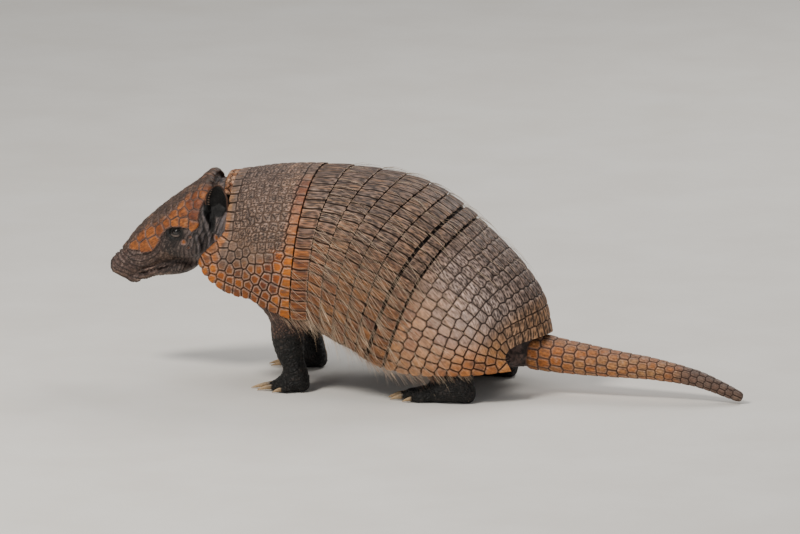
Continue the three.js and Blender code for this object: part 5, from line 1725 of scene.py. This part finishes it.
def shell_material():
    """Horny scutes: the painted tint, mottling, lengthwise streaks, specks and pits."""
    material, tree, principled = shader("horny_scute", 0.6, Specular_IOR_Level=0.42)
    place = object_space(tree)
    flow = add_node(tree, "ShaderNodeAttribute", attribute_name="flow").outputs["Vector"]
    stretch = add_node(tree, "ShaderNodeMapping", Scale=(0.16, 1.5, 7.0))
    tree.links.new(flow, stretch.inputs["Vector"])
    lines = noise_node(tree, stretch.outputs["Vector"], 1.0, 3.0, 0.6)
    mottle = noise_node(tree, place, 330, 6.0, 0.62)
    specks = noise_node(tree, place, 1500, 3.0, 0.6)
    colour = blend_colour(tree, "MULTIPLY", 1.0, tinted(tree), grey(tree, levels(tree, mottle, 0.28, 0.72, 0.66, 1.3)))
    colour = blend_colour(tree, "MULTIPLY", 0.75, colour, grey(tree, levels(tree, lines, 0.38, 0.6, 0.42, 1.25)))
    colour = blend_colour(tree, "MIX", levels(tree, specks, 0.62, 0.74, 0.0, 0.4), colour, linear("b59a84"))
    pit_space = add_node(tree, "ShaderNodeMapping", Scale=(0.42, 0.52, 1.0))
    tree.links.new(flow, pit_space.inputs["Vector"])
    near = cell_node(tree, pit_space.outputs["Vector"], 1.0, "F1", "2D")
    pitted = add_node(tree, "ShaderNodeAttribute", attribute_name="pitted").outputs["Fac"]
    holes = maths(tree, "MULTIPLY", levels(tree, near, 0.2, 0.42, 1.0, 0.0), pitted)
    ridges = grey(tree, levels(tree, near, 0.45, 0.75, 0.95, 1.4))
    colour = blend_colour(tree, "MULTIPLY", pitted, colour, ridges)
    colour = blend_colour(tree, "MIX", maths(tree, "MULTIPLY", holes, 0.88), colour, linear("1c110c"))
    tree.links.new(colour, principled.inputs["Base Color"])
    groove = add_node(tree, "ShaderNodeAttribute", attribute_name="groove").outputs["Fac"]
    rough = levels(tree, mottle, 0.3, 0.7, 0.42, 0.66)
    tree.links.new(maths(tree, "MAXIMUM", rough, maths(tree, "MULTIPLY", groove, 0.9)), principled.inputs["Roughness"])
    depth = maths(tree, "SUBTRACT", 1.0, holes)
    bumps(tree, principled, (depth, 0.6, 0.7), (lines, 0.5, 0.45), (mottle, 0.55, 0.5), (specks, 0.2, 0.5))
    return material


def grey(tree, value):
    node = add_node(tree, "ShaderNodeCombineColor")
    for socket in node.inputs[:3]:
        tree.links.new(value, socket)
    return node.outputs["Color"]


def skin_material():
    """Bare, wrinkled skin: the painted tint under dust, with pores and cracks."""
    material, tree, principled = shader("bare_skin", 0.62, Specular_IOR_Level=0.4)
    place = object_space(tree)
    mottle = noise_node(tree, place, 240, 6.0, 0.6)
    fine = noise_node(tree, place, 1100, 4.0, 0.6)
    cracks = cell_node(tree, place, 620)
    colour = blend_colour(tree, "MULTIPLY", 1.0, tinted(tree), grey(tree, levels(tree, mottle, 0.28, 0.72, 0.6, 1.4)))
    colour = blend_colour(tree, "MULTIPLY", 0.7, colour, grey(tree, levels(tree, cracks, 0.0, 0.16, 0.5, 1.05)))
    scaly = add_node(tree, "ShaderNodeAttribute", attribute_name="scaly").outputs["Fac"]
    scales = cell_node(tree, place, 270)
    domes = levels(tree, scales, 0.0, 0.28)
    tones = grey(tree, levels(tree, scales, 0.02, 0.3, 0.2, 2.0))
    colour = blend_colour(tree, "MULTIPLY", scaly, colour, tones)
    tree.links.new(colour, principled.inputs["Base Color"])
    tree.links.new(levels(tree, mottle, 0.3, 0.7, 0.46, 0.75), principled.inputs["Roughness"])
    raised = maths(tree, "MULTIPLY", domes, scaly)
    bumps(tree, principled, (raised, 1.1, 0.8), (levels(tree, cracks, 0.0, 0.2), 0.35, 0.5), (mottle, 0.6, 0.5),
          (fine, 0.2, 0.5))
    return material


def horn_material():
    """Claws: streaked horn, worn dull."""
    material, tree, principled = shader("claw_horn", 0.45, Specular_IOR_Level=0.45)
    place = object_space(tree)
    streaks = noise_node(tree, place, 700, 5.0, 0.6)
    colour = blend_colour(tree, "MULTIPLY", 1.0, tinted(tree), grey(tree, levels(tree, streaks, 0.3, 0.7, 0.62, 1.3)))
    tree.links.new(colour, principled.inputs["Base Color"])
    tree.links.new(levels(tree, streaks, 0.3, 0.7, 0.3, 0.6), principled.inputs["Roughness"])
    bumps(tree, principled, (streaks, 0.3, 0.4))
    return material


def hair_material():
    """Coarse, dry, straw-coloured hair."""
    material, tree, principled = shader("coarse_hair", 0.5, Specular_IOR_Level=0.35)
    place = object_space(tree)
    bands = noise_node(tree, place, 160, 3.0)
    colour = blend_colour(tree, "MULTIPLY", 1.0, tinted(tree), grey(tree, levels(tree, bands, 0.3, 0.7, 0.75, 1.2)))
    tree.links.new(colour, principled.inputs["Base Color"])
    bumps(tree, principled, (noise_node(tree, place, 900, 3.0), 0.05, 0.3))
    return material


def eye_material():
    """A dark brown eye under a wet, clear surface."""
    material, tree, principled = shader("dark_eye", 0.12, Specular_IOR_Level=0.7)
    cloud = noise_node(tree, object_space(tree), 420, 3.0)
    colour = blend_colour(tree, "MIX", levels(tree, cloud, 0.35, 0.7), linear("060403"), linear("170c07"))
    tree.links.new(colour, principled.inputs["Base Color"])
    return material


# ---- stage, light and camera ----
AZIMUTH, ELEVATION = math.radians(15), math.radians(12)
DISTANCE = 16.0
FRAME_WIDTH = 0.744  # metres across the picture at the animal
TARGET = Vector((-0.0242, 0.0, 0.1115))


def stage_material():
    material, tree, principled = shader("pale_floor", 0.85)
    spots = noise_node(tree, object_space(tree), 9, 5.0)
    colour = blend_colour(tree, "MIX", levels(tree, spots, 0.35, 0.65), linear("e3dfd8"), linear("e9e6e0"))
    tree.links.new(colour, principled.inputs["Base Color"])
    return material


def stage():
    """A pale floor, soft lamps and the camera."""
    material = stage_material()
    size = 6.0
    mesh = bpy.data.meshes.new("floor")
    mesh.from_pydata([(-size, -size, 0), (size, -size, 0), (size, size, 0), (-size, size, 0)], [], [(0, 1, 2, 3)])
    mesh.materials.append(material)
    floor = bpy.data.objects.new("floor", mesh)
    bpy.context.scene.collection.objects.link(floor)
    lamps = [
        ("key", (-0.9, -1.3, 1.9), 0.6, 44, (1.0, 0.95, 0.88)),
        ("fill", (1.6, -1.5, 0.9), 1.6, 3.5, (0.9, 0.95, 1.0)),
        ("rim", (0.6, 1.6, 1.6), 1.2, 20, (1.0, 0.97, 0.93)),
        ("top", (0.0, 0.0, 2.6), 2.0, 12, (1.0, 1.0, 1.0)),
        ("catch", (-0.75, -2.2, 0.75), 0.3, 6, (1.0, 1.0, 1.0)),
    ]
    for name, place, width, watts, colour in lamps:
        data = bpy.data.lights.new(name, "AREA")
        data.shape = "DISK"
        data.size = width
        data.energy = watts
        data.color = colour
        lamp = bpy.data.objects.new(name, data)
        lamp.location = place
        lamp.rotation_euler = (Vector((0, 0, 0.1)) - Vector(place)).to_track_quat("-Z", "Y").to_euler()
        bpy.context.scene.collection.objects.link(lamp)
    world = bpy.data.worlds.new("studio")
    world.use_nodes = True
    world.node_tree.nodes["Background"].inputs["Color"].default_value = (0.8, 0.82, 0.85, 1)
    world.node_tree.nodes["Background"].inputs["Strength"].default_value = 0.3
    bpy.context.scene.world = world
    data = bpy.data.cameras.new("camera")
    data.sensor_width = 36
    data.lens = data.sensor_width * DISTANCE / FRAME_WIDTH
    data.clip_start, data.clip_end = 0.1, 50
    camera = bpy.data.objects.new("camera", data)
    back = Vector((math.sin(AZIMUTH) * math.cos(ELEVATION), -math.cos(AZIMUTH) * math.cos(ELEVATION), math.sin(ELEVATION)))
    camera.location = TARGET + back * DISTANCE
    camera.rotation_euler = (-back).to_track_quat("-Z", "Y").to_euler()
    bpy.context.scene.collection.objects.link(camera)
    bpy.context.scene.camera = camera


# ---- the armadillo ----
stage()
scute = shell_material()
skin = skin_material()
shield("scapular_shield", 0.0, 2.0, 129, 417, scapular_seeds(), 0.0, scute, (0.3, 0.8),
       lambda u, a: ramp(1 - np.abs(a), 0.22, 0.36) * ramp(u, 0.12, 0.3) * ramp(1.95 - u, 0, 0.3), 1.0, (9, 27))
for k in range(1, BANDS + 1):
    band(k, scute)
shield("pelvic_shield", 9.0, 13.0, 177, 385, pelvic_seeds(), 0.2, scute, (0.0, 0.6),
       lambda u, a: 0.9 * ramp(1 - np.abs(a), 0.3, 0.6), 0.42, (12, 25))
head_shield(scute)
nuchal_band(scute)
tail(scute)
flesh_points, flesh_normals = skin_piece(skin)
hair = hair_material()
shell_hairs(hair)
fringe_hairs(hair)
skin_hairs(flesh_points, flesh_normals, hair)
eye = eye_material()
horn = horn_material()
for side in (1.0, -1.0):
    eyeball(side, eye)
    for kind in ("fore", "hind"):
        claws(kind, side, horn)
